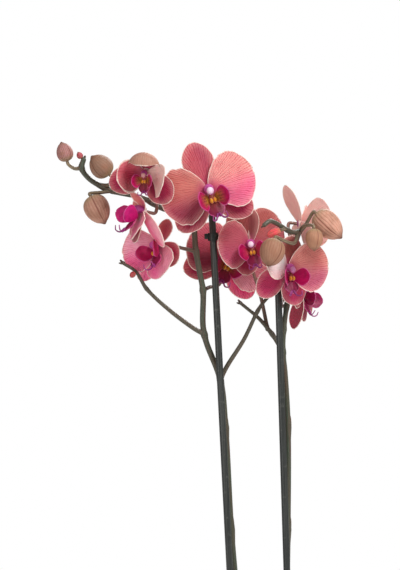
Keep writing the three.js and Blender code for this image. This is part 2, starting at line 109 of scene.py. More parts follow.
# %% [markdown]
# White walls could stand round the plant, each with its lamps. A white world does the same with no
# mesh at all. It lights the plant at one strength, and a ray that comes straight from the camera
# sees it brighter, as a backdrop that is lit on its own.

# %% White room
ROOM_LIGHT = 0.36
world = bpy.data.worlds.new("white_room")
scene.world = world
world.use_nodes = True
room = world.node_tree
dim, bright = room.nodes["Background"], room.nodes.new("ShaderNodeBackground")
for background in (dim, bright):
    background.inputs["Color"].default_value = (1, 1, 1, 1)
dim.inputs["Strength"].default_value = ROOM_LIGHT
path = room.nodes.new("ShaderNodeLightPath")
choose = room.nodes.new("ShaderNodeMixShader")
room.links.new(path.outputs["Is Camera Ray"], choose.inputs[0])
room.links.new(dim.outputs[0], choose.inputs[1])
room.links.new(bright.outputs[0], choose.inputs[2])
room.links.new(choose.outputs[0], room.nodes["World Output"].inputs["Surface"])
print("light of the room:", ROOM_LIGHT)

# %% [markdown]
# The floor only takes the shadow of the pot. A square would do, but a disc has no corner that could
# show in a view from the side. It lies a little below the pot, so that the two don't flicker.

# %% Floor
FLOOR_RADIUS, BELOW_THE_POT = 2.2, 0.0006
floor_mesh = bmesh.new()
bmesh.ops.create_circle(floor_mesh, cap_ends=True, segments=96, radius=FLOOR_RADIUS)
bmesh.ops.translate(floor_mesh, verts=floor_mesh.verts, vec=(0, 0, -BELOW_THE_POT))
floor_data = bpy.data.meshes.new("floor")
floor_mesh.to_mesh(floor_data)
floor_mesh.free()
floor = add_object("floor", floor_data)
floor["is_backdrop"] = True
print("floor width, m:", 2 * FLOOR_RADIUS)

# %% [markdown]
# ## Skins
# A plant's surface is never one colour. It could be painted on an image, or each petal could have a
# material of its own. Here one small set of nodes serves every petal, because it reads two notes
# that are left on the mesh: "own", where a point lies on its own petal, stem or bud, and "tone", the
# colour that this one petal starts from, with the strength of its markings as alpha. So the veins
# fan out from the claw of each petal, and a pattern follows the surface however it bends.


# %% A tool for skins
def paint(code, marks=0.0):
    """A colour written as six hex digits, as light, with the strength of its markings."""
    parts = [int(code[i : i + 2], 16) / 255 for i in (0, 2, 4)]
    return (*[c / 12.92 if c < 0.04 else ((c + 0.055) / 1.055) ** 2.4 for c in parts], marks)


class Skin:
    """A material whose nodes are added one at a time."""

    def __init__(self, name, **shader):
        self.material = bpy.data.materials.new(name)
        self.material.use_nodes = True
        self.tree = self.material.node_tree
        self.shader = self.tree.nodes["Principled BSDF"]
        for socket, value in shader.items():
            self.shader.inputs[socket.replace("_", " ")].default_value = value

    def add(self, kind, inputs, out=0, **settings):
        node = self.tree.nodes.new("ShaderNode" + kind)
        for key, value in settings.items():
            setattr(node, key, value)
        for key, value in inputs.items():
            if isinstance(value, bpy.types.NodeSocket):
                self.tree.links.new(value, node.inputs[key])
            else:
                node.inputs[key].default_value = value
        return node.outputs[out]

    def own(self):
        """The three numbers of the note own, each by itself, after the note as a whole."""
        note = self.add("Attribute", {}, "Vector", attribute_name="own")
        return (note, *self.split(note))

    def tone(self, out="Color"):
        return self.add("Attribute", {}, out, attribute_name="tone")

    def space(self):
        """Where a point is on the plant, in metres."""
        return self.add("TexCoord", {}, "Object")

    def split(self, vector):
        return self.add("SeparateXYZ", {0: vector}).node.outputs[:3]

    def vector(self, x, y, z):
        return self.add("CombineXYZ", {0: x, 1: y, 2: z})

    def math(self, operation, a, b=0.0, c=0.0):
        return self.add("Math", {0: a, 1: b, 2: c}, operation=operation)

    def times(self, a, b):
        return self.math("MULTIPLY", a, b)

    def step(self, value, low, high, least=0.0, most=1.0):
        """Smoothly from least to most while value goes from low to high."""
        inputs = {0: value, 1: low, 2: high, 3: least, 4: most}
        return self.add("MapRange", inputs, interpolation_type="SMOOTHSTEP")

    def line(self, value, outer, inner, most):
        """A line along which value is nought. It fades out from inner to outer on both sides."""
        return self.step(self.math("ABSOLUTE", value), outer, inner, 0, most)

    def stripes(self, count, inner, outer):
        """A line at each whole number of count, that fades out from inner to outer."""
        return self.step(self.math("PINGPONG", count, 0.5), inner, outer, 1, 0)

    def noise(self, vector, scale, detail=2):
        return self.add("TexNoise", {"Vector": vector, "Scale": scale, "Detail": detail})

    def patches(self, vector, scale, detail, low, high, most=1.0, least=0.0):
        """Cloudy patches, from least to most."""
        return self.step(self.noise(vector, scale, detail), low, high, least, most)

    def mix(self, share, first, second, blend="MIX"):
        inputs = {0: share, 6: first, 7: second}
        return self.add("Mix", inputs, out=2, data_type="RGBA", blend_type=blend)

    def darker(self, colour, share, by):
        """colour times another colour, by a share."""
        return self.mix(share, colour, by, "MULTIPLY")

    def colour(self, socket):
        self.tree.links.new(socket, self.shader.inputs["Base Color"])

    def bump(self, height, distance, strength=1.0):
        """Raised work, with its depth in metres."""
        inputs = {"Height": height, "Distance": distance, "Strength": strength}
        self.tree.links.new(self.add("Bump", inputs), self.shader.inputs["Normal"])


print("rose in light:", [round(c, 2) for c in paint("bb5862")[:3]])

# %% [markdown]
# ### Petals and sepals
# The petals and sepals of such a flower are together its tepals. Their veins leave the claw, fan out
# and fork, and they are darker than the skin between them. A stretched noise could stand for them,
# but it doesn't fork or meet at the claw. So the angle round the claw counts the main veins, and
# twice that angle the finer ones further out. The margin is a thin cream line, and the back is paler
# and has faint veins. On a tepal, "own" is how far along and across it a point lies, and how far
# from its margin, which is below nought on the back.


# %% The skin of petals and sepals
def tepal_skin():
    skin = Skin("tepal_skin", Roughness=0.55, Specular_IOR_Level=0.25, Sheen_Weight=0.03,
                Subsurface_Weight=0.25, Subsurface_Scale=0.004, Subsurface_Radius=(1.0, 0.45, 0.5))
    own, along, across, margin = skin.own()
    front = skin.step(margin, -0.05, 0.05)
    reach = skin.add("VectorMath", {0: skin.vector(along, across, 0)}, "Value", operation="LENGTH")
    wander = skin.math("MULTIPLY_ADD", skin.noise(own, 0.09), 0.07, -0.035)
    angle = skin.math("ADD", skin.math("ARCTAN2", across, skin.math("ADD", along, 5.0)), wander)

    def veins(count, start, width):
        line = skin.stripes(skin.times(angle, count), 0.02, width)
        return skin.times(line, skin.step(reach, start, start + 8))

    main, forks = veins(10.0, 3, 0.2), veins(20.0, 13, 0.34)
    both = skin.math("MAXIMUM", main, skin.times(forks, 0.75))
    both = skin.times(both, skin.patches(own, 0.25, 2, 0.3, 0.62, 1, 0.45))
    strength = skin.times(both, skin.math("MULTIPLY_ADD", front, 0.45, 0.2))
    cloud = skin.patches(own, 0.07, 2, 0.35, 0.65, 0.35)
    base = skin.darker(skin.tone(), cloud, (0.86, 0.66, 0.72, 1))
    heart = skin.times(skin.step(reach, 12, 2, 0, 0.75), front)
    base = skin.mix(heart, base, paint("a8245f"))
    outer = skin.times(skin.step(margin, 8, 0, 0, 0.3), front)
    base = skin.mix(outer, base, paint("f2b3a8"))
    base = skin.darker(base, skin.times(strength, skin.tone("Alpha")), (0.7, 0.24, 0.36, 1))
    skin.colour(skin.mix(skin.line(margin, 0.9, 0.35, 0.85), base, paint("f8dccf")))
    crumb = skin.times(skin.noise(own, 1.4, 3), 0.35)
    skin.bump(skin.math("MULTIPLY_ADD", both, -0.8, crumb), 0.0003)
    return skin.material


TEPAL_SKIN = tepal_skin()
print("made", TEPAL_SKIN.name)

# %% [markdown]
# ### Lips
# The lip is glossier and far deeper in colour. Near the column the inside of its side lobes turns
# tawny, with bars of dark crimson, and then yellow. The bars could be raised in the mesh, but on the
# real lip they are only colour, so they are stripes counted across the lobe, on its front alone.


# %% The skin of lips and columns
def lip_skin():
    skin = Skin("lip_skin", Roughness=0.38, Specular_IOR_Level=0.3, Subsurface_Weight=0.15,
                Subsurface_Scale=0.003, Subsurface_Radius=(1.0, 0.4, 0.5))
    own, along, across, margin = skin.own()
    inside = skin.times(skin.step(margin, -0.05, 0.05), skin.tone("Alpha"))
    base = skin.darker(skin.tone(), skin.patches(own, 0.25, 2, 0.35, 0.7), (0.75, 0.5, 0.75, 1))
    near = skin.times(skin.times(skin.step(along, 15, 5), inside), skin.step(margin, 1.2, 4.0))
    base = skin.mix(near, base, paint("a4603c"))
    wander = skin.times(skin.noise(own, 0.5, 3), 1.6)
    bars = skin.stripes(skin.math("MULTIPLY_ADD", across, 0.42, wander), 0.08, 0.26)
    base = skin.mix(skin.times(skin.times(bars, near), 0.85), base, paint("5e1428"))
    glow = skin.times(skin.step(along, 7, 2, 0, 0.8), inside)
    base = skin.mix(glow, base, paint("c98f2c"))
    skin.colour(skin.mix(skin.line(margin, 0.8, 0.2, 0.4), base, paint("e06fae")))
    skin.bump(skin.noise(own, 1.8, 3), 0.0003, 0.6)
    return skin.material


LIP_SKIN = lip_skin()
print("made", LIP_SKIN.name)

# %% [markdown]
# ### Buds
# A bud is the closed flower, so it has the veins of its three sepals, all running from its base to
# its beak. It is dull beige-pink with a breath of green near the base. Its veins could be cut into
# the mesh as its seams are, but that takes a far finer mesh. So they are stripes in the angle round
# its axis, and "own" is a point on a ball of radius one.


# %% The skin of buds
def bud_skin():
    skin = Skin("bud_skin", Roughness=0.58, Specular_IOR_Level=0.3, Subsurface_Weight=0.12,
                Subsurface_Scale=0.003, Subsurface_Radius=(1.0, 0.6, 0.4))
    own, x, y, z = skin.own()
    turn = skin.math("ARCTAN2", z, x)
    wander = skin.math("MULTIPLY_ADD", skin.noise(own, 1.6), 0.3, -0.15)
    count = skin.times(skin.math("ADD", turn, wander), 24 / (2 * pi))
    veins = skin.times(skin.stripes(count, 0.06, 0.3), skin.tone("Alpha"))
    base = skin.mix(skin.patches(own, 1.6, 3, 0.35, 0.7, 0.6), skin.tone(), paint("9c6c54"))
    base = skin.mix(skin.step(y, -0.35, -1.0, 0, 0.5), base, paint("8f8a5c"))
    base = skin.mix(skin.step(y, 0.72, 1.0, 0, 0.6), base, paint("7c5444"))
    base = skin.darker(base, skin.times(veins, 0.32), (0.74, 0.5, 0.46, 1))
    seam = skin.step(skin.math("COSINE", skin.times(turn, 3.0)), -0.96, -1.0, 0, 0.7)
    skin.colour(skin.darker(base, seam, (0.5, 0.3, 0.28, 1)))
    fleck = skin.times(skin.noise(own, 30, 2), 0.3)
    skin.bump(skin.math("MULTIPLY_ADD", veins, -0.6, fleck), 0.0004)
    return skin.material


BUD_SKIN = bud_skin()
print("made", BUD_SKIN.name)

# %% [markdown]
# ### Stems and roots
# A spike is grey-green with brown patches, fine streaks along it and a few pale dots. A root is
# wrapped in silvery sponge that is mottled. A pattern fixed in space would cut straight through a
# stem that bends, so "own" is here the length gone along the limb, the turn round it in radians,
# and its radius.


# %% The skins of spikes and roots
def wrapped(skin, along, turn, stretch):
    """A place on the limb as if it were straight, which closes where the turn is complete."""
    return skin.vector(skin.times(along, stretch), skin.math("COSINE", turn), skin.math("SINE", turn))


def stem_skin():
    skin = Skin("stem_skin", Roughness=0.42, Coat_Weight=0.1)
    own, along, turn, radius = skin.own()
    browned = skin.patches(wrapped(skin, along, turn, 0.02), 1.4, 3, 0.35, 0.68)
    base = skin.mix(browned, skin.tone(), paint("5a4638"))
    streaks = skin.noise(skin.vector(skin.times(along, 0.05), turn, radius), 9, 3)
    base = skin.darker(base, skin.step(streaks, 0.45, 0.7, 0, 0.6), (0.6, 0.6, 0.55, 1))
    dotted = skin.vector(skin.times(along, 0.6), turn, radius)
    dots = skin.patches(dotted, 2.6, 1, 0.68, 0.76, 0.35)
    skin.colour(skin.mix(dots, base, paint("a8a48a")))
    skin.bump(streaks, 0.0004, 0.7)
    return skin.material


def root_skin():
    skin = Skin("root_skin", Roughness=0.85)
    own, along, turn, radius = skin.own()
    around = wrapped(skin, along, turn, 0.35)
    mottle = skin.noise(around, 1.7, 5)
    base = skin.mix(skin.step(mottle, 0.35, 0.65), skin.tone(), paint("7d8a66"))
    skin.colour(skin.mix(skin.patches(around, 5, 3, 0.58, 0.7), base, paint("d6d4c2")))
    skin.bump(mottle, 0.0008)
    return skin.material


STEM_SKIN, ROOT_SKIN = stem_skin(), root_skin()
print("made", STEM_SKIN.name, "and", ROOT_SKIN.name)

# %% [markdown]
# ### Leaves
# A strap leaf is thick and glossy. Its veins run side by side along its length and barely show, its
# midrib is a paler line, and its underside is paler too. A texture could be stretched over each
# leaf, but leaves differ in size and veins don't. So everything is measured in millimetres, from
# the claw, the midrib and the margin.


# %% The skin of leaves
def leaf_skin():
    skin = Skin("leaf_skin", Roughness=0.32, Coat_Weight=0.25, Coat_Roughness=0.25)
    own, along, across, margin = skin.own()
    wander = skin.times(skin.noise(own, 0.03), 1.2)
    veins = skin.stripes(skin.math("MULTIPLY_ADD", across, 0.45, wander), 0.05, 0.35)
    base = skin.mix(skin.patches(own, 0.045, 4, 0.35, 0.7), skin.tone(), paint("476f31"))
    base = skin.mix(skin.step(along, 40, 0, 0, 0.5), base, paint("7c9050"))
    base = skin.darker(base, skin.times(veins, 0.16), (0.7, 0.8, 0.6, 1))
    base = skin.mix(skin.line(across, 2.6, 0.4, 0.45), base, paint("86a05a"))
    base = skin.mix(skin.line(margin, 1.4, 0.2, 0.4), base, paint("6d5a3c"))
    base = skin.mix(skin.patches(own, 0.5, 2, 0.7, 0.78, 0.35), base, paint("9aa35a"))
    under = skin.mix(0.6, base, paint("7e8f5c"))
    skin.colour(skin.mix(skin.step(margin, -0.3, 0.3), under, base))
    pores = skin.times(skin.noise(own, 1.1, 3), 0.3)
    skin.bump(skin.math("MULTIPLY_ADD", veins, -0.12, pores), 0.0004)
    return skin.material


LEAF_SKIN = leaf_skin()
print("made", LEAF_SKIN.name)

# %% [markdown]
# ### Bark and made things
# Pine bark splits into layers, so its colour and its relief change fastest through the chip. Each
# chip lies its own way, so the layers follow "own", its place before it was turned. The stakes and
# clips are coated plastic, and the pot is moulded plastic with fine rings and a little dust round
# its foot. They stand almost upright and don't bend, so their patterns are simply fixed in space.


# %% The skins of bark, stakes, clips and pot
def bark_skin():
    skin = Skin("bark_skin", Roughness=0.9)
    own, space = skin.own()[0], skin.space()
    layered = skin.add("VectorMath", {0: own, 1: (0.12, 0.12, 1.3)}, operation="MULTIPLY")
    layers, grain = skin.noise(layered, 0.9, 4), skin.noise(space, 420, 4)
    base = skin.mix(skin.step(layers, 0.38, 0.62), skin.tone(), paint("8a5c3c"))
    base = skin.darker(base, skin.step(grain, 0.4, 0.65, 0, 0.8), (0.45, 0.4, 0.38, 1))
    skin.colour(skin.mix(skin.patches(space, 160, 2, 0.62, 0.72, 0.5), base, paint("b59a7c")))
    skin.bump(skin.math("MULTIPLY_ADD", grain, 0.6, layers), 0.0015)
    return skin.material


def stake_skin():
    skin = Skin("stake_skin", Roughness=0.38, Coat_Weight=0.15)
    space = skin.space()
    rub = skin.noise(skin.add("Mapping", {0: space, "Scale": (900, 900, 14)}), 1.0, 3)
    base = skin.mix(skin.step(rub, 0.4, 0.65), paint("232624"), paint("383a37"))
    skin.colour(skin.mix(skin.patches(space, 260, 3, 0.6, 0.75, 0.35), base, paint("6c6d66")))
    skin.bump(rub, 0.0002)
    return skin.material


def clip_skin():
    skin = Skin("clip_skin", Roughness=0.35)
    wear = skin.noise(skin.space(), 700, 3)
    skin.colour(skin.mix(skin.step(wear, 0.5, 0.7), paint("141b18"), paint("2a332e")))
    skin.bump(wear, 0.0001)
    return skin.material


def pot_skin():
    skin = Skin("pot_skin", Roughness=0.45)
    space = skin.space()
    height = skin.split(space)[2]
    base = skin.mix(skin.patches(space, 26, 4, 0.35, 0.7, 0.5), paint("b9aa9a"), paint("a79683"))
    dust = skin.times(skin.step(height, 0.03, 0, 0, 0.5), skin.patches(space, 90, 4, 0.42, 0.62))
    base = skin.mix(dust, base, paint("8d7d6a"))
    skin.colour(skin.mix(skin.patches(space, 210, 2, 0.7, 0.74, 0.35), base, paint("d2c8bb")))
    rings = skin.math("SINE", skin.times(height, 5200.0))
    skin.bump(skin.math("MULTIPLY_ADD", rings, 0.25, skin.noise(space, 900, 2)), 0.00012)
    return skin.material


BARK_SKIN, STAKE_SKIN, CLIP_SKIN, POT_SKIN = bark_skin(), stake_skin(), clip_skin(), pot_skin()
floor_skin = Skin("floor_skin", Roughness=0.7)
floor_cloud = floor_skin.noise(floor_skin.space(), 3.0)
floor_skin.colour(floor_skin.mix(floor_cloud, paint("f4f3f1"), paint("f8f7f6")))
floor_data.materials.append(floor_skin.material)
print("skins in all:", len(bpy.data.materials))

# %% [markdown]
# ## A workbench for shapes
# Nearly everything on a plant is one of three shapes: a blade, a limb or an egg. A piece is a mesh
# to which such parts are added. It could be joined from many objects at the end, but then each
# would need its notes and its skin, so one mesh holds them all from the start.


# %% The workbench
class Piece:
    """One mesh that is being made, in millimetres, with the notes that the skins read."""

    def __init__(self):
        self.bm = bmesh.new()
        self.own = self.bm.verts.layers.float_vector.new("own")
        self.tone = self.bm.verts.layers.float_color.new("tone")
        self.lean = self.bm.verts.layers.float_vector.new("lean")
        self.matrix = Matrix()

    def finish(self, name, skin, slot, *nodes):
        """Turns the mesh into an object in metres that rides on the plant."""
        bm = self.bm
        bm.verts.layers.float_vector.remove(self.lean)
        bmesh.ops.recalc_face_normals(bm, faces=bm.faces)
        bmesh.ops.scale(bm, verts=bm.verts, vec=(MM, MM, MM))
        data = bpy.data.meshes.new(name)
        bm.to_mesh(data)
        bm.free()
        data.shade_smooth()
        data.set_sharp_from_angle(angle=radians(60))
        data.materials.append(skin)
        piece = add_object(name, data)
        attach(piece, "root")
        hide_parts(*nodes)
        return piece


def turned(degrees, axis):
    return Matrix.Rotation(radians(degrees), 4, axis)


def pointed(way, at, axis=(0, 1, 0)):
    """A matrix that turns an axis to point another way, and then moves it to a point."""
    turn = Vector(axis).rotation_difference(way)
    return Matrix.Translation(at) @ turn.to_matrix().to_4x4()


print("a quarter turn moves x to", (turned(90, "Z") @ Vector((1, 0, 0))).to_tuple(1))

# %% [markdown]
# ### Blades
# A blade is a petal, a sepal, a lobe or a leaf. It could be sculpted by hand, but the plant has more
# than seventy. So it is a flat grid that is cut to an outline, bent by three angles and then
# thickened: lift raises it from its claw, arch bends it along its length, and cup across its width.
# Then two blades differ by a few numbers.


# %% Bending a blade
def bent(shape, x, y, rise):
    """A blade's flat point, x along it and y across it, after its lift, arch and cup."""
    lift, arch = radians(shape["lift"]), radians(shape["arch"]) or 1e-4
    cup = radians(shape["cup"]) / shape["width"] or 1e-6
    radius = shape["length"] / arch
    here = lift - x / radius
    out = (1 - cos(cup * y)) / cup + rise
    return Vector((
        radius * (sin(lift) - sin(here)) - out * sin(here),
        sin(cup * y) / cup,
        radius * (cos(here) - cos(lift)) + out * cos(here),
    ))


def half_width(shape, s):
    body = (shape["width"] / 2) * sin(pi * s ** shape["widest"]) ** shape["fullness"]
    return body + shape["claw"] * (1 - s) ** 6


def blend(first, second, share):
    return tuple(a + (b - a) * share for a, b in zip(first, second))


arched = dict(length=10, width=10, lift=0, arch=90, cup=0)
print("a flat blade that is arched by a right angle ends at", bent(arched, 10, 0, 0).to_tuple(1))

# %% Blades
TIP = 0.997  # where the last row of a blade is, as a share of its length


def blade(piece, shape, matrix, front, back=None, rows=34, columns=26, thickness=0.6, fold=None,
          low=None):
    """A thin blade with its claw at the matrix's origin, its length along x, its face to z.

    The face has the tone front, or goes from it at the upper edge to low at the lower edge, where
    low is partly the blade's own deeper colour and partly painted shade. The other side has the tone
    back. fold raises the blade by a function of its length and width.
    """
    bm = piece.bm
    made = bmesh.ops.create_grid(bm, x_segments=rows, y_segments=columns, size=1)["verts"]
    faces = list({f for v in made for f in v.link_faces})
    length, ruffle, frill = shape["length"], shape.get("ruffle", 0), shape.get("frill", 0)
    seed, fringe, mirror = shape.get("seed", 0), shape.get("fringe", 0), shape.get("mirror", 1)
    for v in made:
        s = TIP * (1 - cos(pi * (v.co.x + 1) / 2)) / 2
        across = sin(pi / 2 * v.co.y)
        wide = half_width(shape, s)
        wide *= 1 + frill * 0.05 * noise.noise((s * 9, across, seed))
        if across * mirror > 0:
            wide *= 1 - fringe * abs(noise.noise((s * 26, across * 2, seed))) * s
        uneven = frill * 0.03 * noise.noise((across * 4, 3, seed)) * (1 - s**6)
        x, y = s * length * (1 + uneven), across * wide
        rise = ruffle * across**2 * sin(2.5 * pi * s + (across > 0) - (across < 0))
        rise += frill * across**4 * noise.noise((s * 7, across * 3, seed + 5))
        rise += fold(s, across) if fold else 0
        margin = min((1 - abs(across)) * wide, (TIP - s) * length) / shape.get("rim", 1)
        v[piece.own] = (x, y * mirror, margin)
        # Towards the lower edge the tone turns to low: the blade's own colour with painted shade.
        share = min(max(0.4 - across * mirror, 0), 1)
        v[piece.tone] = blend(front, low or front, share * share * (3 - 2 * share))
        v.co = bent(shape, x, y, rise)
    bm.normal_update()
    for v in made:
        v[piece.lean] = v.normal * thickness / 2
        v.co += v[piece.lean]
    shell = bmesh.ops.extrude_face_region(bm, geom=faces, use_keep_orig=True)["geom"]
    behind = [v for v in shell if isinstance(v, bmesh.types.BMVert)]
    for v in behind:
        x, y, margin = v[piece.own]
        v[piece.own] = (x, y, -margin)
        v[piece.tone] = back or front
        v.co -= 2 * v[piece.lean]
    bmesh.ops.transform(bm, matrix=piece.matrix @ matrix, verts=made + behind)


def towards(start, along, face):
    """A matrix that puts a blade's claw at start, its length along one way, its face to another."""
    x = Vector(along).normalized()
    z = Vector(face)
    z = (z - x * z.dot(x)).normalized()
    return Matrix.Translation(start) @ Matrix((x, z.cross(x), z)).transposed().to_4x4()


print("the last row of a blade is at", TIP, "of its length")

# %% [markdown]
# ### Limbs and eggs
# A limb is a stem, a root or a tendril. A curve object with a bevel would make it too, but a curve
# keeps no notes. So it is a grid, rolled into a tube round a smooth curve through a few points and
# closed by round ends. An egg is a ball, stretched three ways.


# %% Curves for limbs
def route(points, steps):
    """Centres along a smooth curve through the points, each span in a number of steps."""
    spots = [Vector(p) for p in points]
    spots = [2 * spots[0] - spots[1], *spots, 2 * spots[-1] - spots[-2]]
    centres = []
    for a, b, c, d in zip(spots, spots[1:], spots[2:], spots[3:]):
        ab, bc, cd = sqrt((b - a).length), sqrt((c - b).length), sqrt((d - c).length)
        leave = ((b - a) / ab - (c - a) / (ab + bc) + (c - b) / bc) * bc
        reach = ((c - b) / bc - (d - b) / (bc + cd) + (d - c) / cd) * bc
        for i in range(steps):
            t = i / steps
            centres.append(
                b + leave * t + (3 * (c - b) - 2 * leave - reach) * t**2
                + (2 * (b - c) + leave + reach) * t**3
            )
    return centres + [spots[-2]]


def lengths(line):
    """How far along a line each of its points is."""
    gone = [0.0]
    for a, b in zip(line, line[1:]):
        gone.append(gone[-1] + (b - a).length)
    return gone


corner = route([(0, 0, 0), (0, 0, 5), (0, 5, 5)], 8)
print("a smooth corner of two 5 mm sides is this long, mm:", round(lengths(corner)[-1], 1))

# %% Limbs and eggs
SEAM, POLE = 0.0005, 0.12  # how near two points are joined, along the tube and at its ends
NARROW = 0.1  # a ring with a smaller radius is an end of the tube
DOME = [(0.5, 0.87), (0.87, 0.5), (1.0, 0.02)]  # how far out and how wide a round end's rings are


def dome(ring, way):
    """The rings of a round end, on one side or the other of a limb's last ring."""
    centre, tangent, normal, wide, gone = ring
    return [(centre + tangent * way * wide * out, tangent, normal, wide * r, gone) for out, r in DOME]


def limb(piece, points, radius, tone, sides=12, steps=8, tip=None):
    """A round limb along a curve. radius is a function of the share and the length gone."""
    bm = piece.bm
    line = route(points, steps)
    gone = lengths(line)
    rings, normal = [], Vector((1, 0.2, 0.1))
    for i, centre in enumerate(line):
        tangent = (line[min(i + 1, len(line) - 1)] - line[max(i - 1, 0)]).normalized()
        normal = (normal - tangent * normal.dot(tangent)).normalized()
        rings.append((centre, tangent, normal.copy(), radius(gone[i] / gone[-1], gone[i]), gone[i]))
    rings = dome(rings[0], -1)[::-1] + rings + dome(rings[-1], 1)
    rows = len(rings) - 1
    made = bmesh.ops.create_grid(bm, x_segments=rows, y_segments=sides, size=1)["verts"]
    for v in made:
        centre, tangent, normal, wide, so_far = rings[round((v.co.x + 1) / 2 * rows)]
        turn = pi * v.co.y
        v[piece.own] = (so_far, turn, wide)
        v[piece.tone] = blend(tone, tip, min(so_far / gone[-1] * 1.4, 1)) if tip else tone
        v.co = centre + wide * (normal * cos(turn) + tangent.cross(normal) * sin(turn))
    bmesh.ops.remove_doubles(bm, verts=made, dist=SEAM)
    ends = [v for v in made if v.is_valid and v[piece.own][2] < NARROW]
    bmesh.ops.remove_doubles(bm, verts=ends, dist=POLE)
    bmesh.ops.transform(bm, matrix=piece.matrix, verts=[v for v in made if v.is_valid])


def egg(piece, radii, matrix, tone, around=24, down=16, ball=Matrix(), shape=None):
    """A ball with three radii. It may be turned, and moved by a function, before it is stretched."""
    made = bmesh.ops.create_uvsphere(
        piece.bm, u_segments=around, v_segments=down, radius=1, matrix=ball
    )["verts"]
    for v in made:
        v[piece.own] = v.co
        v[piece.tone] = tone
        p = shape(v.co) if shape else v.co
        v.co = (p.x * radii[0], p.y * radii[1], p.z * radii[2])
    bmesh.ops.transform(piece.bm, matrix=piece.matrix @ matrix, verts=made)


print("rings in a round end:", len(DOME))

# %% [markdown]
# ## Blooms
# A moth orchid's bloom has three sepals behind and two broad petals in front, and in the middle the
# column and the lip. One bloom could be modelled and copied, but no two on a plant are alike. So
# each starts from the same five tepals, and says which of them differ. A tepal's direction is in
# degrees, from the bloom's right towards its dorsal sepal.

# %% What a bloom is made of
PETAL = dict(length=38, width=46, fullness=0.55, widest=1.15, lift=12, arch=24, cup=14, base=0.9,
             ruffle=0.8, frill=1.0, claw=2.2, twist=0)
SEPAL = dict(length=39, width=26, fullness=0.55, widest=1.25, lift=2, arch=12, cup=-24, base=-0.4,
             frill=0.4, claw=2.2, twist=0)
TEPALS = {
    "dorsal": {**SEPAL, "direction": 90},
    "sepal_left": {**SEPAL, "direction": 217},
    "sepal_right": {**SEPAL, "direction": -37},
    "petal_left": {**PETAL, "direction": 177},
    "petal_right": {**PETAL, "direction": 3},
}
CUPPED = dict(lift=30, arch=16)
print("tepals in a bloom:", len(TEPALS))

# %% [markdown]
# The tepals run from silvery pink to crimson, and most are deeper towards the lower edge. That
# deeper edge is partly their own colour and partly painted shade, where less light falls, and the
# silvery tone is a painted highlight on a petal that faces the light. One noise could tint them all,
# but each has aged in its own way, and two are darker with painted shade from the blooms in front.
# So the tones are a palette of pairs, for the upper and the lower edge, and each bloom picks from it.


# %% Tones
# An upper tone and a deeper lower one. The lower holds painted shade as well as the tepal's colour.
def tone_with_painted_shade(upper, lower, marks=1.0):
    return paint(upper, marks), paint(lower, marks)


# Nearly white: a painted highlight, for a petal that faces the light.
PAINTED_HIGHLIGHT = paint("fbeae6", 0.2), paint("f8dcda", 0.3)
PALE = tone_with_painted_shade("fac8bc", "ee9c9c", 0.7)
BLUSHED = tone_with_painted_shade("ffbcc4", "ffacbc")
CANDY = tone_with_painted_shade("ffb2c4", "ff6ca4", 0.9)
BLOSSOM = tone_with_painted_shade("ffa4b8", "ff74a8", 0.9)
PINK = tone_with_painted_shade("ea9a92", "ee6e93")
APRICOT = tone_with_painted_shade("de8c80", "bc627c")
PEACH = tone_with_painted_shade("c9786c", "983c50")
CORAL = tone_with_painted_shade("e0706a", "d8607a")
GLOWING = tone_with_painted_shade("fb5a96", "e84a88", 0.9)
# The next two are darkened with painted shade, for petals in the shade of blooms in front.
DEEP_ROSE_AND_PAINTED_SHADE = tone_with_painted_shade("cc6a7c", "8e2c46")
RASPBERRY_AND_PAINTED_SHADE = tone_with_painted_shade("c05c6a", "b04a66")
ROSE = tone_with_painted_shade("bb5862", "a3455a")
DUSTY = tone_with_painted_shade("ab6058", "a5565e")
FUCHSIA = tone_with_painted_shade("c43a6a", "b02a5c", 0.8)
SCARLET = tone_with_painted_shade("bd2850", "96183e", 0.9)
CRIMSON = tone_with_painted_shade("a02048", "8a1740", 0.8)
BRONZE = tone_with_painted_shade("8c4a40", "803c3e", 0.8)
SHELL = paint("dda591", 0.5)
MAGENTA, WINE, ORCHID = paint("b80a56", 1), paint("860f40", 0.3), paint("bf5598")
YOLK, VIOLET, CAP = paint("dd9a28"), paint("8e2f74"), paint("f3dde8")
TONES = dict(dorsal=ROSE, sepal_left=CRIMSON, sepal_right=CRIMSON, petal_left=PEACH,
             petal_right=PEACH)
print("the lower edge of a crimson tepal:", [round(c, 2) for c in CRIMSON[1]])

# %% [markdown]
# The blooms could be scattered along the spikes by chance, but these stand where they were seen. The
# yaw of a bloom turns its face to the right, its pitch lifts it, and its roll turns it like a wheel.
# A tepal's back is its front's tone blended with the colour of shell, by the share in "backs".

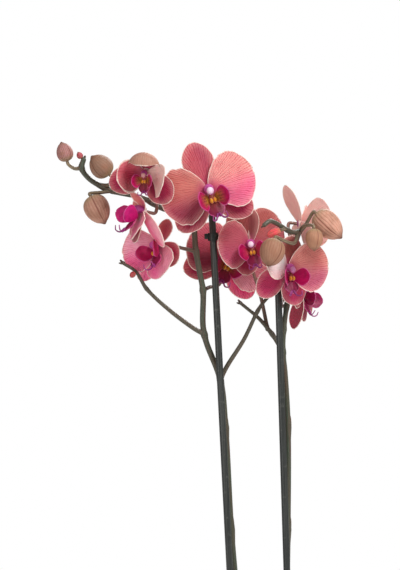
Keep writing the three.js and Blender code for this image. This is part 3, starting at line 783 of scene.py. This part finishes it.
# %% Where each bloom is and how it differs
PLAIN = dict(pitch=0, roll=0, lip={}, change={}, tones={}, backs=0.7)
BLOOMS = {
    "bloom_1": dict(
        at=(-97, -36, 595), yaw=-12, pitch=-15, size=0.84,
        lip=dict(size=0.78, pitch=6, out=3, cap=paint("d9a096")),
        change=dict(
            dorsal=dict(direction=85, length=44, width=41, fullness=0.4, widest=1.6, lift=-36,
                        arch=-205, cup=154, back=paint("b58672", 0.4)),
            petal_left=dict(direction=186, length=30, width=33, lift=14, arch=-50, cup=50, rim=2.4),
            # petal_right's pale back is painted light: brighter than its own colour, since that face
            # lies in shade.
            petal_right=dict(direction=-22, length=30, width=35, fullness=0.86, widest=1.02,
                             lift=-7.7, arch=71.4, cup=15.4, twist=195, ruffle=0, rim=1.8,
                             back=paint("ffd6c8", 0.8)),
            sepal_left=dict(direction=201, length=38, width=27, lift=2),
            sepal_right=dict(direction=-50, length=35, width=28, lift=16),
        ),
        tones=dict(dorsal=CRIMSON, petal_left=SCARLET, petal_right=CRIMSON),
    ),
    "bloom_2": dict(
        at=(-99, -30, 564.5), yaw=-70, pitch=8, size=0.88,
        lip=dict(pitch=14, marks=0, cap=ORCHID, lobe=paint("c41470")),
        change=dict(
            dorsal=dict(length=22, lift=8, arch=-75, cup=40, rim=1.6),
            petal_left=dict(direction=204, length=30, width=34, rim=1.6),
            petal_right=dict(direction=-75, length=28, width=30, lift=7, arch=-22, rim=1.6),
            sepal_right=dict(direction=-74, length=36, width=21, widest=0.95, lift=-29, rim=1.6),
        ),
        tones=dict(dorsal=CORAL, petal_left=CORAL, petal_right=BLOSSOM, sepal_right=CANDY),
        backs=0.2,
    ),
    "bloom_3": dict(
        at=(-86.5, -10, 538.5), yaw=-46, roll=18, size=0.86,
        lip=dict(pitch=8, marks=0, cap=ORCHID),
        change=dict(
            dorsal=dict(direction=66, length=24, width=20, lift=-12),
            petal_left=dict(lift=24, arch=10, width=40),
            petal_right=dict(direction=-86, length=34, width=38, lift=8, arch=-20),
            sepal_left=dict(lift=14),
            sepal_right=dict(direction=-58, length=24, lift=-5),
        ),
        tones=dict(petal_left=CANDY, petal_right=BLOSSOM, sepal_left=CANDY),
    ),
    "bloom_4": dict(
        at=(-48, -28, 582), yaw=6, roll=20, size=1,
        change=dict(
            dorsal=dict(length=38),
            petal_right=dict(fringe=0.16, rows=90),
            sepal_right=dict(direction=-46),
        ),
        tones=dict(petal_right=PINK),
    ),
    "bloom_5": dict(
        at=(-31.5, 27, 528.5), yaw=14, roll=-22, size=0.95, lip=dict(marks=0.6),
        # Its left petal is darkened with painted shade, as it lies in the shade of the bloom in front.
        tones=dict(petal_left=DEEP_ROSE_AND_PAINTED_SHADE, petal_right=BLUSHED, sepal_right=GLOWING),
    ),
    "bloom_6": dict(
        at=(-14, 10, 539.5), yaw=27, roll=14, size=0.85,
        lip=dict(yaw=-28, pitch=12, out=1, marks=0.2),
        change=dict(
            dorsal=dict(direction=97, width=32, lift=14, twist=-25),
            petal_left=dict(direction=168, length=34.5),
            petal_right=dict(direction=26),
            sepal_left=dict(direction=247, length=29),
        ),
        # Its left petal is darkened with painted shade, as it lies in the shade of the bloom in front.
        tones=dict(dorsal=BRONZE, petal_left=RASPBERRY_AND_PAINTED_SHADE, petal_right=DUSTY),
    ),
    "bloom_7": dict(
        at=(15, -8, 520), yaw=36, size=0.87,
        lip=dict(yaw=-12, out=1.5, marks=0, cap=paint("d58cb8")),
        change=dict(
            petal_left=dict(**CUPPED, direction=172, width=27),
            petal_right=CUPPED,
            dorsal=dict(direction=70, length=30),
            sepal_right=dict(direction=-64, length=36, width=30),
        ),
        # Its left petal is nearly white, a painted highlight where it faces the light.
        tones=dict(dorsal=BRONZE, petal_left=PAINTED_HIGHLIGHT, petal_right=APRICOT, sepal_left=FUCHSIA,
                   sepal_right=FUCHSIA),
    ),
    "bloom_8": dict(
        at=(28, 43, 501.5), yaw=70, roll=-10, size=0.8,
        lip=dict(marks=0, cap=ORCHID, lobe=paint("8e0a4a")),
        change=dict(
            sepal_left=dict(direction=275, lift=-4, twist=-50, back=paint("a03a50", 0.8)),
        ),
    ),
    "bloom_9": dict(
        at=(26.5, 20, 556), yaw=100, size=0.85,
        change=dict(
            petal_left=dict(lift=28, arch=-22),
            petal_right=dict(**CUPPED, length=34, width=36),
            dorsal=dict(width=21, lift=-22, arch=8, twist=25),
            sepal_left=dict(lift=12, arch=-14),
        ),
        tones=dict.fromkeys(TEPALS, PALE), backs=0.1,
    ),
}
BLOOMS = {name: {**PLAIN, **bloom} for name, bloom in BLOOMS.items()}


def bloom_frame(bloom):
    """From a bloom's own frame, x to its right, y to its dorsal sepal and z to its face."""
    return (
        Matrix.Translation(bloom["at"]) @ turned(90, "X") @ turned(bloom["yaw"], "Y")
        @ turned(-bloom["pitch"], "X") @ turned(bloom["roll"], "Z")
        @ Matrix.Scale(bloom["size"], 4)
    )


print("blooms:", len(BLOOMS))

# %% [markdown]
# The five tepals of a bloom grow from one small base behind the lip. They could be five objects, but
# nothing parts them on the plant, so they are one piece, and an egg is their base.


# %% Petals and sepals
def make_tepals(name, bloom):
    piece = Piece()
    piece.matrix = bloom_frame(bloom)
    tones = {**TONES, **bloom["tones"]}
    for order, (tepal, full) in enumerate(TEPALS.items()):
        shape = {**full, **bloom["change"].get(tepal, {})}
        shape["seed"] = order * 7 + bloom["at"][0]
        shape["mirror"] = -1 if "left" in tepal else 1
        claw = Matrix.Translation((1.2, 0, shape["base"])) @ turned(shape["twist"], "X")
        # low, the lower edge's tone, holds painted shade as well as the tepal's colour.
        front, low = tones[tepal]
        back = shape.get("back", blend(front, SHELL, bloom["backs"]))
        blade(piece, shape, turned(shape["direction"], "Z") @ claw, front, back,
              shape.get("rows", 34), low=low)
    egg(piece, (4.2, 4.2, 2.2), Matrix.Translation((0, 0, -0.9)), ORCHID)
    return piece.finish(name + "_petals_and_sepals", TEPAL_SKIN, "tepals", name + "_tepals")


for name, bloom in BLOOMS.items():
    made = make_tepals(name, bloom)
print("faces in the last bloom's tepals:", len(made.data.polygons))

# %% [markdown]
# The lip has two side lobes that stand up round the column, a callus with two horns between them, a
# middle lobe with a low keel, and two tendrils that curl at its tip. The column ends in a pale cap
# over the pollen. It could be one sculpted form, but its parts are blades, limbs and eggs again.

# %% Columns and lips
SIDE_LOBE = dict(length=19.5, width=17, fullness=0.6, widest=1.4, claw=2, lift=0, arch=-30, cup=50,
                 frill=0.5)
MIDDLE_LOBE = dict(length=16, width=14, fullness=0.6, widest=1.3, claw=2, lift=0, arch=14, cup=-40,
                   frill=0.6)
LIP = dict(size=1, yaw=0, pitch=0, out=0, marks=1, cap=CAP, lobe=MAGENTA)
COLUMN = [(0, 0.8, 1.0), (0, 0.5, 3.5), (0, -0.2, 5.6), (0, -1.0, 7.4)]
TENDRIL = [(0.8, -21, 10.5), (3.4, -25, 12.5), (6, -24.5, 16), (5.4, -21, 18)]


def keel(s, across):
    return 0.9 * exp(-((across / 0.25) ** 2)) * sin(pi * s)


def make_lip(name, bloom):
    piece = Piece()
    lip = {**LIP, **bloom["lip"]}
    here = Matrix.Translation
    piece.matrix = (
        bloom_frame(bloom) @ here((0, 0, lip["out"])) @ turned(lip["yaw"], "Y")
        @ turned(-lip["pitch"], "X") @ Matrix.Scale(lip["size"], 4)
    )
    limb(piece, COLUMN, lambda s, gone: 3.0 + 0.9 * sin(pi * s * 0.8), ORCHID, sides=20)
    egg(piece, (2.9, 3.2, 2.7), here((0, -1.7, 9.4)), lip["cap"], 20, 12)
    egg(piece, (1.0, 1.2, 1.6), here((0, -4.2, 9.2)), ORCHID, 12, 8)
    egg(piece, (2.6, 5.4, 2.6), here((0, -7.8, 5.3)), WINE, 20, 12)
    inner = (*lip["lobe"][:3], lip["marks"])
    for side in (-1, 1):
        lobe = towards((side * 2, -8, 4), (side * 0.74, -0.03, 0.67), (-side, 0.1, 1))
        blade(piece, SIDE_LOBE, lobe, inner, lip["lobe"], 22, 18, 0.8)
        egg(piece, (1.5, 2.4, 2.4), here((side * 1.5, -9.6, 7.8)), YOLK, 14, 10)
        tendril = [(side * x, y, z) for x, y, z in TENDRIL]
        limb(piece, tendril, lambda s, gone: 0.9 - 0.45 * s, VIOLET, sides=8, steps=6)
    middle = towards((0, -8.5, 4), (0, -0.86, 0.5), (0, 0.5, 0.86))
    throat = (*WINE[:3], WINE[3] * lip["marks"])
    blade(piece, MIDDLE_LOBE, middle, throat, MAGENTA, 22, 18, 1.2, keel)
    return piece.finish(name + "_column_and_lip", LIP_SKIN, "lip", name + "_lip")


for name, bloom in BLOOMS.items():
    made = make_lip(name, bloom)
print("faces in the last lip:", len(made.data.polygons))

# %% [markdown]
# ## Buds
# A bud is three sepals whose edges meet in seams. It could be three blades that close, but only its
# outside shows, so it is an egg. The egg is pinched a little along each seam and drawn out to a beak
# at its tip. A ball has its poles on z, so it is first turned to have them at base and beak, on y.

# %% Buds
BUDS = {
    "bud_1": ((-159.8, -15, 604.6), (-164.5, -15, 619.5), 13, paint("b07d78", 1)),
    "bud_2": ((-126, -18.5, 593.8), (-140, -22, 608), 18, paint("93705c", 0.6)),
    "bud_3": ((-141.3, -12.8, 577), (-130, -16, 555.5), 20, paint("c4937f", 1)),
    "bud_4": ((37.6, -17, 563.2), (57, -25, 544), 20.5, paint("d6a08a", 1)),
    "bud_5": ((34.8, -37, 550.5), (35.2, -41, 533.5), 13.6, paint("b58468", 0.5)),
    "bud_6": ((4.4, -42, 542), (-1, -50, 521.5), 19.5, paint("a97c64", 0.8)),
    "young_bud_1": ((-148.6, -12, 607), (-151.5, -13, 612), 5, paint("b8505c")),
    "young_bud_2": ((9, -31, 549.5), (-2, -33, 545), 6.6, paint("ee565c")),
    "young_bud_3": ((-106.5, -11, 516.5), (-109.5, -14, 512.5), 4.6, paint("b8404c")),
}


def bud_shape(p):
    turn = atan2(p.z, p.x)
    away = (turn + pi) % (2 * pi / 3)
    away = min(away, 2 * pi / 3 - away)
    seam = 1 + 0.035 * cos(3 * turn) - 0.045 * exp(-((away / 0.09) ** 2))
    beak = max(0, (p.y - 0.8) / 0.2)
    taper = (1 - 0.16 * p.y - 0.1 * p.y**3) * seam * (1 - 0.3 * beak)
    return Vector((p.x * taper, p.y + 0.08 * beak**3, p.z * taper))


for name, (base, tip, width, tone) in BUDS.items():
    base, tip = Vector(base), Vector(tip)
    radii = (width / 2, (tip - base).length / 2, width / 2)
    piece = Piece()
    egg(piece, radii, pointed(tip - base, (base + tip) / 2), tone, 54, 30, turned(-90, "X"), bud_shape)
    piece.finish(name + "_sepals", BUD_SKIN, name.rstrip("_123456"), name)
print("buds:", len(BUDS))

# %% [markdown]
# ## Spikes
# A spike is a jointed stem: it swells where something leaves it, and a small dry bract clasps it
# there. Its side branches and the pedicels of the blooms and buds could be cut and joined to it, but
# it is enough that each starts inside it, at a swelling that hides the join.

# %% Where the spikes go
SPIKES = {
    "spike_left": dict(
        main=[(-13.2, 1.5, 113), (-18, 4, 135), (-22, 6.5, 220), (-29.5, 6.5, 310), (-34, 6.5, 392),
              (-38, 7, 430), (-49.5, 6.5, 461), (-52, 5.5, 474), (-52, 4, 502), (-55, 2.5, 518),
              (-58, 1, 536), (-60, -1, 554), (-66.5, -2, 561.5), (-85.5, -6, 568), (-94, -8, 573),
              (-104.5, -9, 577), (-124.5, -9, 581.5), (-142, -11, 590.5), (-148.5, -12, 599.5),
              (-147, -12, 606)],
        radius=(2.9, 2.1),
        branches=[
            [(-50.5, 6, 467), (-57.5, 5, 470.5), (-78.5, 0, 486), (-97, -7, 503.5),
             (-105.5, -9, 517), (-116, -10, 524)],
            [(-38, 7, 431), (-32.5, 7.5, 441.5), (-19, 5, 463), (-8.5, 3, 485), (-4, 3, 492),
             (7, 8.5, 503.5)],
        ],
        pedicels=dict(
            bloom_1=[(-91, -7, 571.5)],
            bloom_2=[(-94, -8, 573), (-89.5, -18, 572), (-88.5, -25, 567)],
            bloom_3=[(-58, 0.5, 533.5), (-65, 1, 535)],
            bloom_4=[(-60, -1, 554)],
            bloom_5=[(-52, 4, 502), (-47, 13, 504.5), (-38, 30, 508)],
            bud_1=[(-148.5, -12, 599.5), (-154, -13, 599)],
            bud_2=[(-133, -10, 585.5), (-126, -13, 586.5)],
            bud_3=[(-124.5, -9, 581.5), (-133, -11, 580)],
        ),
    ),
    "spike_right": dict(
        main=[(13.2, 1.5, 113), (15, 6, 135), (14.5, 8, 220), (16, 7, 310), (16.2, 5, 392),
              (14, 6, 434), (12.2, 6.5, 454), (12.8, 7, 470.5), (18, 10, 509), (21, 14, 534.5),
              (23.5, 12, 543), (25, 5, 548), (25, -5, 549), (23.5, -14, 548.5), (17.5, -22, 548.5),
              (5.5, -33, 555), (0.5, -37, 556.5), (-4, -40, 553.5)],
        radius=(2.85, 1.8),
        branches=[[(12.2, 6.5, 453), (3.5, 11, 467), (-7.5, 13, 480), (-22, 14, 492)]],
        pedicels=dict(
            bloom_6=[(0, 12, 471), (-6, 22, 500)],
            bloom_7=[(18, 10, 509)],
            bloom_8=[(16, 8, 490), (11, 26, 490)],
            bloom_9=[(21, 14, 534.5)],
            bud_4=[(25, -3, 549), (29, -7, 553)],
            bud_5=[(24.5, -9, 548.8), (28, -20, 553)],
            bud_6=[(23.5, -14, 548.5), (20, -26, 539.5), (12, -35, 541)],
            young_bud_2=[(14, -25, 550)],
        ),
    ),
}


def seat_of(name):
    """The last two points of a pedicel, straight behind what it carries."""
    if name in BLOOMS:
        return [bloom_frame(BLOOMS[name]) @ Vector((0, 0, -back)) for back in (11, 3.5)]
    base, tip = Vector(BUDS[name][0]), Vector(BUDS[name][1])
    return [base - (tip - base).normalized() * back for back in (2.2, 0.5)]


print("pedicels:", sum(len(spike["pedicels"]) for spike in SPIKES.values()))

# %% [markdown]
# A stem could be a tube of even width, but a real one thickens wherever something leaves it. So its
# radius tapers from one end to the other, with a soft swelling at each joint. A bract is a small
# blade cupped round the stem, and a tip that has stopped growing is four small eggs.

# %% Growing a stem
STEM, TWIG, BRACT, DRY = paint("465040"), paint("544f40"), paint("7c5a44"), paint("43342e")
TENDER, BLUSH = paint("9a8666"), paint("a8766a")
SCALE = dict(fullness=0.6, widest=0.8, lift=-6, arch=-14, cup=130)
SWELLING, SWELLING_LENGTH = 0.28, 2.6


def grow(piece, points, start, end, tone, joints, **more):
    """A stem from one radius to another that swells where something leaves it."""
    line = route(points, 12)
    gone = lengths(line)
    spots = []
    for joint in joints:
        distances = [(p - Vector(joint)).length for p in line]
        spots.append(gone[distances.index(min(distances))])

    def radius(share, length):
        swell = sum(exp(-(((length - spot) / SWELLING_LENGTH) ** 2)) for spot in spots)
        return (start + (end - start) * share) * (1 + SWELLING * swell)

    limb(piece, points, radius, tone, **more)


def bract(piece, at, along, face, length, width):
    """A small dry scale that clasps the stem under a branch."""
    shape = dict(**SCALE, length=length, width=width, claw=width * 0.3)
    blade(piece, shape, towards(at, along, face), BRACT, rows=10, columns=10, thickness=0.35)


def dry_tip(piece, points):
    """The cluster of dry scales where a branch or the spike has stopped growing."""
    end = Vector(points[-1])
    out = (end - Vector(points[-2])).normalized()
    for i in range(4):
        side = Vector((sin(i * 2.3), cos(i * 2.3) * 0.6, cos(i * 1.7)))
        scale = pointed(out + side * 0.35, end + out * (0.9 * i - 1.4) + side * 0.7)
        egg(piece, (1.1, 2.2, 0.8), scale, DRY, 12, 8)


print("a stem swells at a joint by", SWELLING)

# %% [markdown]
# Each spike is put together in the order in which it grows: the main stem, its branches, and then a
# pedicel to each bloom and bud. The end of a pedicel could be given as points like the rest, but it
# must meet what it carries, so its last two points come from the bloom or bud itself.

# %% Spikes
for name, spike in SPIKES.items():
    piece = Piece()
    main, branches, pedicels = spike["main"], spike["branches"], spike["pedicels"]
    low, leaving = main[2:5], [points[0] for points in [*branches, *pedicels.values()]]
    grow(piece, main, *spike["radius"], STEM, leaving + low, sides=16)
    for points in branches:
        grow(piece, points, 2.0, 1.3, TWIG, [points[0], points[-3]], steps=8)
    for end, points in pedicels.items():
        wide = 1.2 if end.startswith("young") else 1.6
        tone = BLUSH if end in BLOOMS else TENDER
        points = [*points, *seat_of(end)]
        grow(piece, points, wide, 1.3, TWIG, points[:1], sides=10, tip=tone)
        first = Vector(points[0])
        away = (Vector(points[1]) - first).normalized()
        under = (away - Vector((0, 0, 0.4))).normalized()
        bract(piece, first + under * 1.2, away, -under, 4.5, 4)
    for points in [main, *branches]:
        dry_tip(piece, points)
    for joint, above in zip(low, main[3:6]):
        up = (Vector(above) - Vector(joint)).normalized()
        bract(piece, Vector(joint) + Vector((0, -1.6, -1)), up, (0, 1, 0), 15, 7)
    piece.finish(name + "_stem", STEM_SKIN, "spike", name)
print("spikes:", len(SPIKES))

# %% [markdown]
# ## Stakes and clips
# Each stake is a coated rod with a rounded rim at its top and foot. A curve could make it, but a
# cone with two equal ends is a clean rod that bevels well.

# %% Stakes
STAKE_RADIUS, STAKE_LENGTH = 2.75, 500
STAKES = dict(left=((-17.5, 0, 20), (-45, 0, 566)), right=((23, 0, 20), (8, 0, 509.5)))


def on_stake(side, down):
    """A matrix on a stake, with z along it, at a distance down from its top."""
    through, top = STAKES[side]
    up = (Vector(top) - Vector(through)).normalized()
    return pointed(up, Vector(top) - up * down, (0, 0, 1))


for side in STAKES:
    piece = Piece()
    bmesh.ops.create_cone(
        piece.bm, cap_ends=True, segments=36, radius1=STAKE_RADIUS, radius2=STAKE_RADIUS,
        depth=STAKE_LENGTH, matrix=on_stake(side, STAKE_LENGTH / 2),
    )
    ends = [f for f in piece.bm.faces if len(f.verts) > 4]
    rims = list({e for f in ends for e in f.edges})
    bmesh.ops.bevel(piece.bm, geom=rims, offset=0.5, affect="EDGES", segments=3, profile=0.5,
                    material=-1)
    piece.finish(f"stake_{side}_rod", STAKE_SKIN, "stake", f"stake_{side}")
print("stake length, mm:", STAKE_LENGTH)

# %% [markdown]
# A clip is a short moulded collar with two finger tabs, and the lower clips have a second collar
# that holds the stem beside the stake. A collar could be a rod with a hole cut through it. Turning
# its section round once gives the same ring with no cut to clean up.

# %% Clips
CLIP_WALL, CLIP_HEIGHT, TAB = 1.1, 6.4, (3.4, 1.6, 4.4)
UPPER, LOWER = 545, 262  # how high the clips are
NEAR_AXIS, POLE_WIDTH = 0.05, 0.2  # which points are on the axis, and how near they are joined


def lathe(bm, section, steps, closed=False):
    """Turns a section of radii and heights once round z, and joins its ends on the axis."""
    old = set(bm.verts)
    dots = [bm.verts.new((radius, 0, z)) for radius, z in section]
    ring = dots + dots[:1] if closed else dots
    lines = [bm.edges.new(ends) for ends in zip(ring, ring[1:])]
    bmesh.ops.spin(bm, geom=dots + lines, cent=(0, 0, 0), axis=(0, 0, 1), angle=2 * pi, steps=steps,
                   use_merge=True)
    made = [v for v in bm.verts if v not in old]
    poles = [v for v in made if hypot(v.co.x, v.co.y) < NEAR_AXIS]
    bmesh.ops.remove_doubles(bm, verts=poles, dist=POLE_WIDTH)
    return [v for v in made if v.is_valid]


def collar(piece, matrix, inner):
    outer, half = inner + CLIP_WALL, CLIP_HEIGHT / 2
    section = [(inner, -half), (outer, -half), (outer, half), (inner, half)]
    made = lathe(piece.bm, section, 40, closed=True)
    bmesh.ops.transform(piece.bm, matrix=matrix, verts=made)


def tab(piece, matrix):
    bm = piece.bm
    made = bmesh.ops.create_cube(bm, size=1)["verts"]
    bmesh.ops.scale(bm, verts=made, vec=TAB)
    edges = list({e for v in made for e in v.link_edges})
    bevelled = bmesh.ops.bevel(bm, geom=edges, offset=0.4, affect="EDGES", segments=2, profile=0.5,
                               material=-1)
    bmesh.ops.transform(bm, matrix=matrix, verts=bevelled["verts"])


def make_clip(name, side, z, stem=None):
    """A clip on a stake at a height, round a stem too if one is given."""
    (_, _, foot), (_, _, top) = STAKES[side]
    lean = on_stake(side, 0).col[2].z
    place = on_stake(side, (top - z) / lean)
    piece = Piece()
    collar(piece, place, STAKE_RADIUS + 0.4)
    if stem:
        beside = min(route(stem, 60), key=lambda p: abs(p.z - z))
        across = (beside.x - place.translation.x, beside.y, 0)
        collar(piece, place @ Matrix.Translation(across), 3.2)
    for hand in (-1, 1):
        out = hand * (STAKE_RADIUS + 2.5)
        tab(piece, place @ Matrix.Translation((out, 0, -0.6 * hand)))
    piece.finish(name + "_moulding", CLIP_SKIN, "clip", name)


make_clip("clip_upper", "left", UPPER)
for side in STAKES:
    make_clip(f"clip_{side}", side, LOWER, SPIKES[f"spike_{side}"]["main"])
print("clips: 3")

# %% [markdown]
# ## Leaves, roots and crown
# The leaves stand in two ranks. Each is a thick strap with a groove along its midrib, deepest where
# it clasps the crown. It could be a box that is bent by modifiers, but the blade of a petal, made
# longer and thicker, already bends and tapers as a leaf does.

# %% Leaves
LEAF = dict(claw=9, cup=36, fullness=0.5, widest=1.15, frill=0.4)
LEAVES = [
    dict(heading=-114, z=112, length=196, width=74, lift=28, arch=54),
    dict(heading=64, z=115, length=205, width=76, lift=32, arch=60),
    dict(heading=-99, z=124, length=176, width=70, lift=48, arch=64),
    dict(heading=78, z=127, length=168, width=66, lift=52, arch=60),
    dict(heading=-88, z=136, length=104, width=44, lift=70, arch=36),
]
LEAF_START, LEAF_THICKNESS = 10.62, 2.2


def leaf_fold(order):
    def fold(s, across):
        groove = -1.3 * exp(-((across / 0.09) ** 2)) * (1 - s)
        return groove + 0.8 * across * abs(across) * sin(5 * s + order)
    return fold


for order, leaf in enumerate(LEAVES):
    name = f"leaf_{order + 1}"
    place = turned(leaf["heading"], "Z") @ Matrix.Translation((LEAF_START, 0, leaf["z"]))
    piece = Piece()
    blade(piece, {**LEAF, **leaf, "seed": order * 3}, place, paint("2f5a2c"), rows=60, columns=36,
          thickness=LEAF_THICKNESS, fold=leaf_fold(order))
    piece.finish(name + "_strap", LEAF_SKIN, "leaf", name)
print("leaves:", len(LEAVES))

# %% [markdown]
# Three roots loop over the bark, and the crown is the short upright stem, ringed where old leaves
# left it. Both could be turned or skinned in other ways, but both are limbs whose radius changes as
# it goes: slowly and unevenly in a root, and in rings up the crown.

# %% Roots and crown
ROOTS = [
    [(8, -8, 98), (16, -16, 102), (26, -24, 106), (35, -29, 107), (42, -24, 103), (42, -15, 90)],
    [(-8.5, -8, 98), (-19, -14, 102), (-31, -15, 107), (-40, -20, 107), (-41, -28, 100),
     (-35, -31, 89)],
    [(-5.5, 10.5, 98), (-12, 21, 103), (-15, 32, 107), (-9, 42, 105), (2, 43, 92)],
]
# The crown's radius at each height.
CROWN = [(62, 7.6), (70, 9.5), (73, 8.9), (91.3, 9.5), (94.3, 8.9), (112.6, 9.5), (115.6, 8.9),
         (134, 9.4), (137, 8.8), (142, 6.5), (145.5, 2.0)]


def root_radius(share, gone):
    return 2.5 - 0.25 * share + 0.18 * noise.noise((gone * 0.2, 0, 6))


def crown_radius(share, gone):
    z = CROWN[0][0] + gone
    for (z0, r0), (z1, r1) in zip(CROWN, CROWN[1:]):
        if z <= z1:
            return r0 + (r1 - r0) * max(z - z0, 0) / (z1 - z0)
    return CROWN[-1][1]


for number, points in enumerate(ROOTS, 1):
    piece = Piece()
    limb(piece, points, root_radius, paint("a9ab93"), sides=16)
    piece.finish(f"root_{number}_velamen", ROOT_SKIN, "root", f"root_{number}")
piece = Piece()
upright = [(0, 0, 62), (0, 0, 90), (0, 0, 118), (0, 0, 144)]
limb(piece, upright, crown_radius, paint("6d8444"), sides=28, steps=14)
piece.finish("crown_stem", STEM_SKIN, "crown", "crown")
print("roots:", len(ROOTS))

# %% [markdown]
# ## Bark and pot
# The pot is filled with coarse chips of pine bark. They could be dropped in by a simulation, but
# that is slow, and they would not lie where the solid has them. So they are laid out in a spiral, as
# seeds are in a sunflower: the solid's large chips first, and then small ones over the gaps.

# %% Where the chips lie
POT_HEIGHT, POT_BASE, POT_RIM, POT_WALL, POT_FLOOR, POT_BAND, POT_LIP = 110, 42, 60, 2.2, 3, 16, 2.6
LARGE = dict(count=12, first=0.7, edge=7, size=(18, 28), wide=(0.5, 0.8), thick=(5, 8), level=94,
             heap=6, loose=0, lean=0.4, start=0)
SMALL = dict(count=110, first=0.5, edge=3, size=(6, 14), wide=(0.45, 0.75), thick=(2.5, 5),
             level=96, heap=5, loose=3.5, lean=0.64, start=1)
SPIRAL = 2.4  # radians from one chip to the next


def wall_at(z):
    """The outer radius of the pot's wall at a height."""
    return POT_BASE + (POT_RIM - POT_LIP - POT_BASE) * z / POT_HEIGHT


def inside(z):
    """How far from the axis the bark may reach at a height."""
    return wall_at(z) - POT_WALL - 0.4


def seeded(state):
    """The same sequence of numbers from 0 to 1 in every run."""
    while True:
        state = (state * 1664525 + 1013904223) % 4294967296
        yield state / 4294967296


SEED = 7
draw = seeded(SEED)


def between(low, high):
    return low + (high - low) * next(draw)


chips = []
for kind in (LARGE, SMALL):
    for i in range(kind["count"]):
        far = sqrt((i + kind["first"]) / kind["count"]) * (inside(95) - kind["edge"])
        size = between(*kind["size"])
        box = Vector((size, size * between(*kind["wide"]), between(*kind["thick"])))
        height = kind["level"] + kind["heap"] * (1 - far / POT_BASE)
        if kind["loose"]:
            height += between(0, kind["loose"])
        angle = i * SPIRAL + kind["start"]
        lean = kind["lean"]
        turns = Euler((between(-lean, lean), between(-lean, lean), between(0, pi)))
        chips.append((Vector((far * cos(angle), far * sin(angle), height)), box, turns))
print("chips:", len(chips))

# %% [markdown]
# The chips could be copies of one block, but bark breaks differently each time. So each is a cut
# block whose faces are pushed in and out by a noise of its own, in a shade of its own. A darker bed
# below them closes the view between them, as painted shade in the gaps.

# %% Bark
# The bed is darker than the chips: painted shade for the gaps between them.
BARK, BED_IN_PAINTED_SHADE = paint("5c3826"), paint("3c2419", 1)
# Without a seed noise_vector starts from the clock, and each run would give other chips.
noise.seed_set(SEED)
piece = Piece()
bm = piece.bm
for number, (spot, box, turns) in enumerate(chips):
    before = len(bm.verts)
    block = bmesh.ops.create_cube(bm, size=1)["verts"]
    edges = list({e for v in block for e in v.link_edges})
    bmesh.ops.subdivide_edges(bm, edges=edges, cuts=3, use_grid_fill=True)
    bm.verts.ensure_lookup_table()
    shade = between(0.75, 1.25)
    for v in bm.verts[before:]:
        p = v.co * box
        rough = noise.noise_vector(p * 0.22 + Vector((number * 9, 0, 0)))
        corner = 1 - 0.12 * (abs(v.co.x) * abs(v.co.y) * 4) ** 2
        p = Vector((p.x * corner, p.y * corner, p.z)) + rough * min(1.6, box.z * 0.3)
        v[piece.own] = (p.x, p.y, p.z + number)
        v[piece.tone] = (*[c * shade for c in BARK[:3]], 1)
        p.rotate(turns)
        p += spot
        # What would pass through the wall is pushed back to it.
        pushed = min(1, (inside(p.z) - 0.2) / hypot(p.x, p.y))
        v.co = (p.x * pushed, p.y * pushed, p.z)
bed = [(0.02, 3.4), (inside(3.4), 3.4), (inside(60), 60), (inside(93), 93), (inside(95) * 0.6, 98),
       (0.02, 100)]
for v in lathe(bm, bed, 48):
    v[piece.own], v[piece.tone] = v.co, BED_IN_PAINTED_SHADE
made = piece.finish("bark_chips", BARK_SKIN, "bark", "bark")
print("faces in the bark:", len(made.data.polygons))

# %% [markdown]
# The pot could be a cone that is hollowed out. It is turned from one profile instead, because that
# gives the tapered wall, the band below the rim and the rounded lip all at once. Drain holes go
# through its floor, cut by six short rods.

# %% Pot
DRAINS, DRAIN_CIRCLE, DRAIN_RADIUS, DRAIN_DEPTH = 6, 27 * MM, 4 * MM, 9 * MM
band_z = POT_HEIGHT - POT_BAND
inner, inner_foot = wall_at(POT_HEIGHT) - POT_WALL, wall_at(POT_FLOOR) - POT_WALL
profile = [
    (0.02, 0), (POT_BASE - 6, 0), (POT_BASE - 1.2, 0), (POT_BASE - 0.2, 0.9), (wall_at(12), 12),
    (wall_at(band_z), band_z - 0.6), (POT_RIM - 2.2, band_z), (POT_RIM - 1, band_z + 1.2),
    (POT_RIM - 0.4, POT_HEIGHT - 3.4), (POT_RIM, POT_HEIGHT - 1.8),
    (POT_RIM - 0.5, POT_HEIGHT - 0.4), (POT_RIM - 1.6, POT_HEIGHT), (inner + 0.5, POT_HEIGHT),
    (inner, POT_HEIGHT - 0.8), (inner_foot + 0.3, POT_FLOOR + 1.2), (inner_foot - 1.2, POT_FLOOR),
    (0.02, POT_FLOOR),
]
piece = Piece()
lathe(piece.bm, profile, 96)
pot = piece.finish("pot_shell", POT_SKIN, "pot", "pot")

rods = bmesh.new()
for i in range(DRAINS):
    spot = turned(360 / DRAINS * i, "Z") @ Matrix.Translation((DRAIN_CIRCLE, 0, 0))
    bmesh.ops.create_cone(rods, cap_ends=True, segments=24, radius1=DRAIN_RADIUS,
                          radius2=DRAIN_RADIUS, depth=DRAIN_DEPTH, matrix=spot)
rod_data = bpy.data.meshes.new("drain_rods")
rods.to_mesh(rod_data)
rods.free()
cutter = add_object("drain_rods", rod_data)
cut = pot.modifiers.new("drains", "BOOLEAN")
cut.operation = "DIFFERENCE"
cut.object = cutter
bpy.context.view_layer.update()
drained = bpy.data.meshes.new_from_object(pot.evaluated_get(bpy.context.evaluated_depsgraph_get()))
pot.modifiers.clear()
pot.data = drained
bpy.data.objects.remove(cutter)
print("faces in the pot:", len(drained.polygons))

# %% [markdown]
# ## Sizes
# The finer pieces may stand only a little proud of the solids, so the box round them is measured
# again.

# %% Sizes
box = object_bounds()
for low, high in (cad_box, box):
    json.dumps([[round(c, 5) for c in low], [round(c, 5) for c in high]])
print("box, mm:", [round((h - l) / MM, 1) for l, h in zip(*box)])
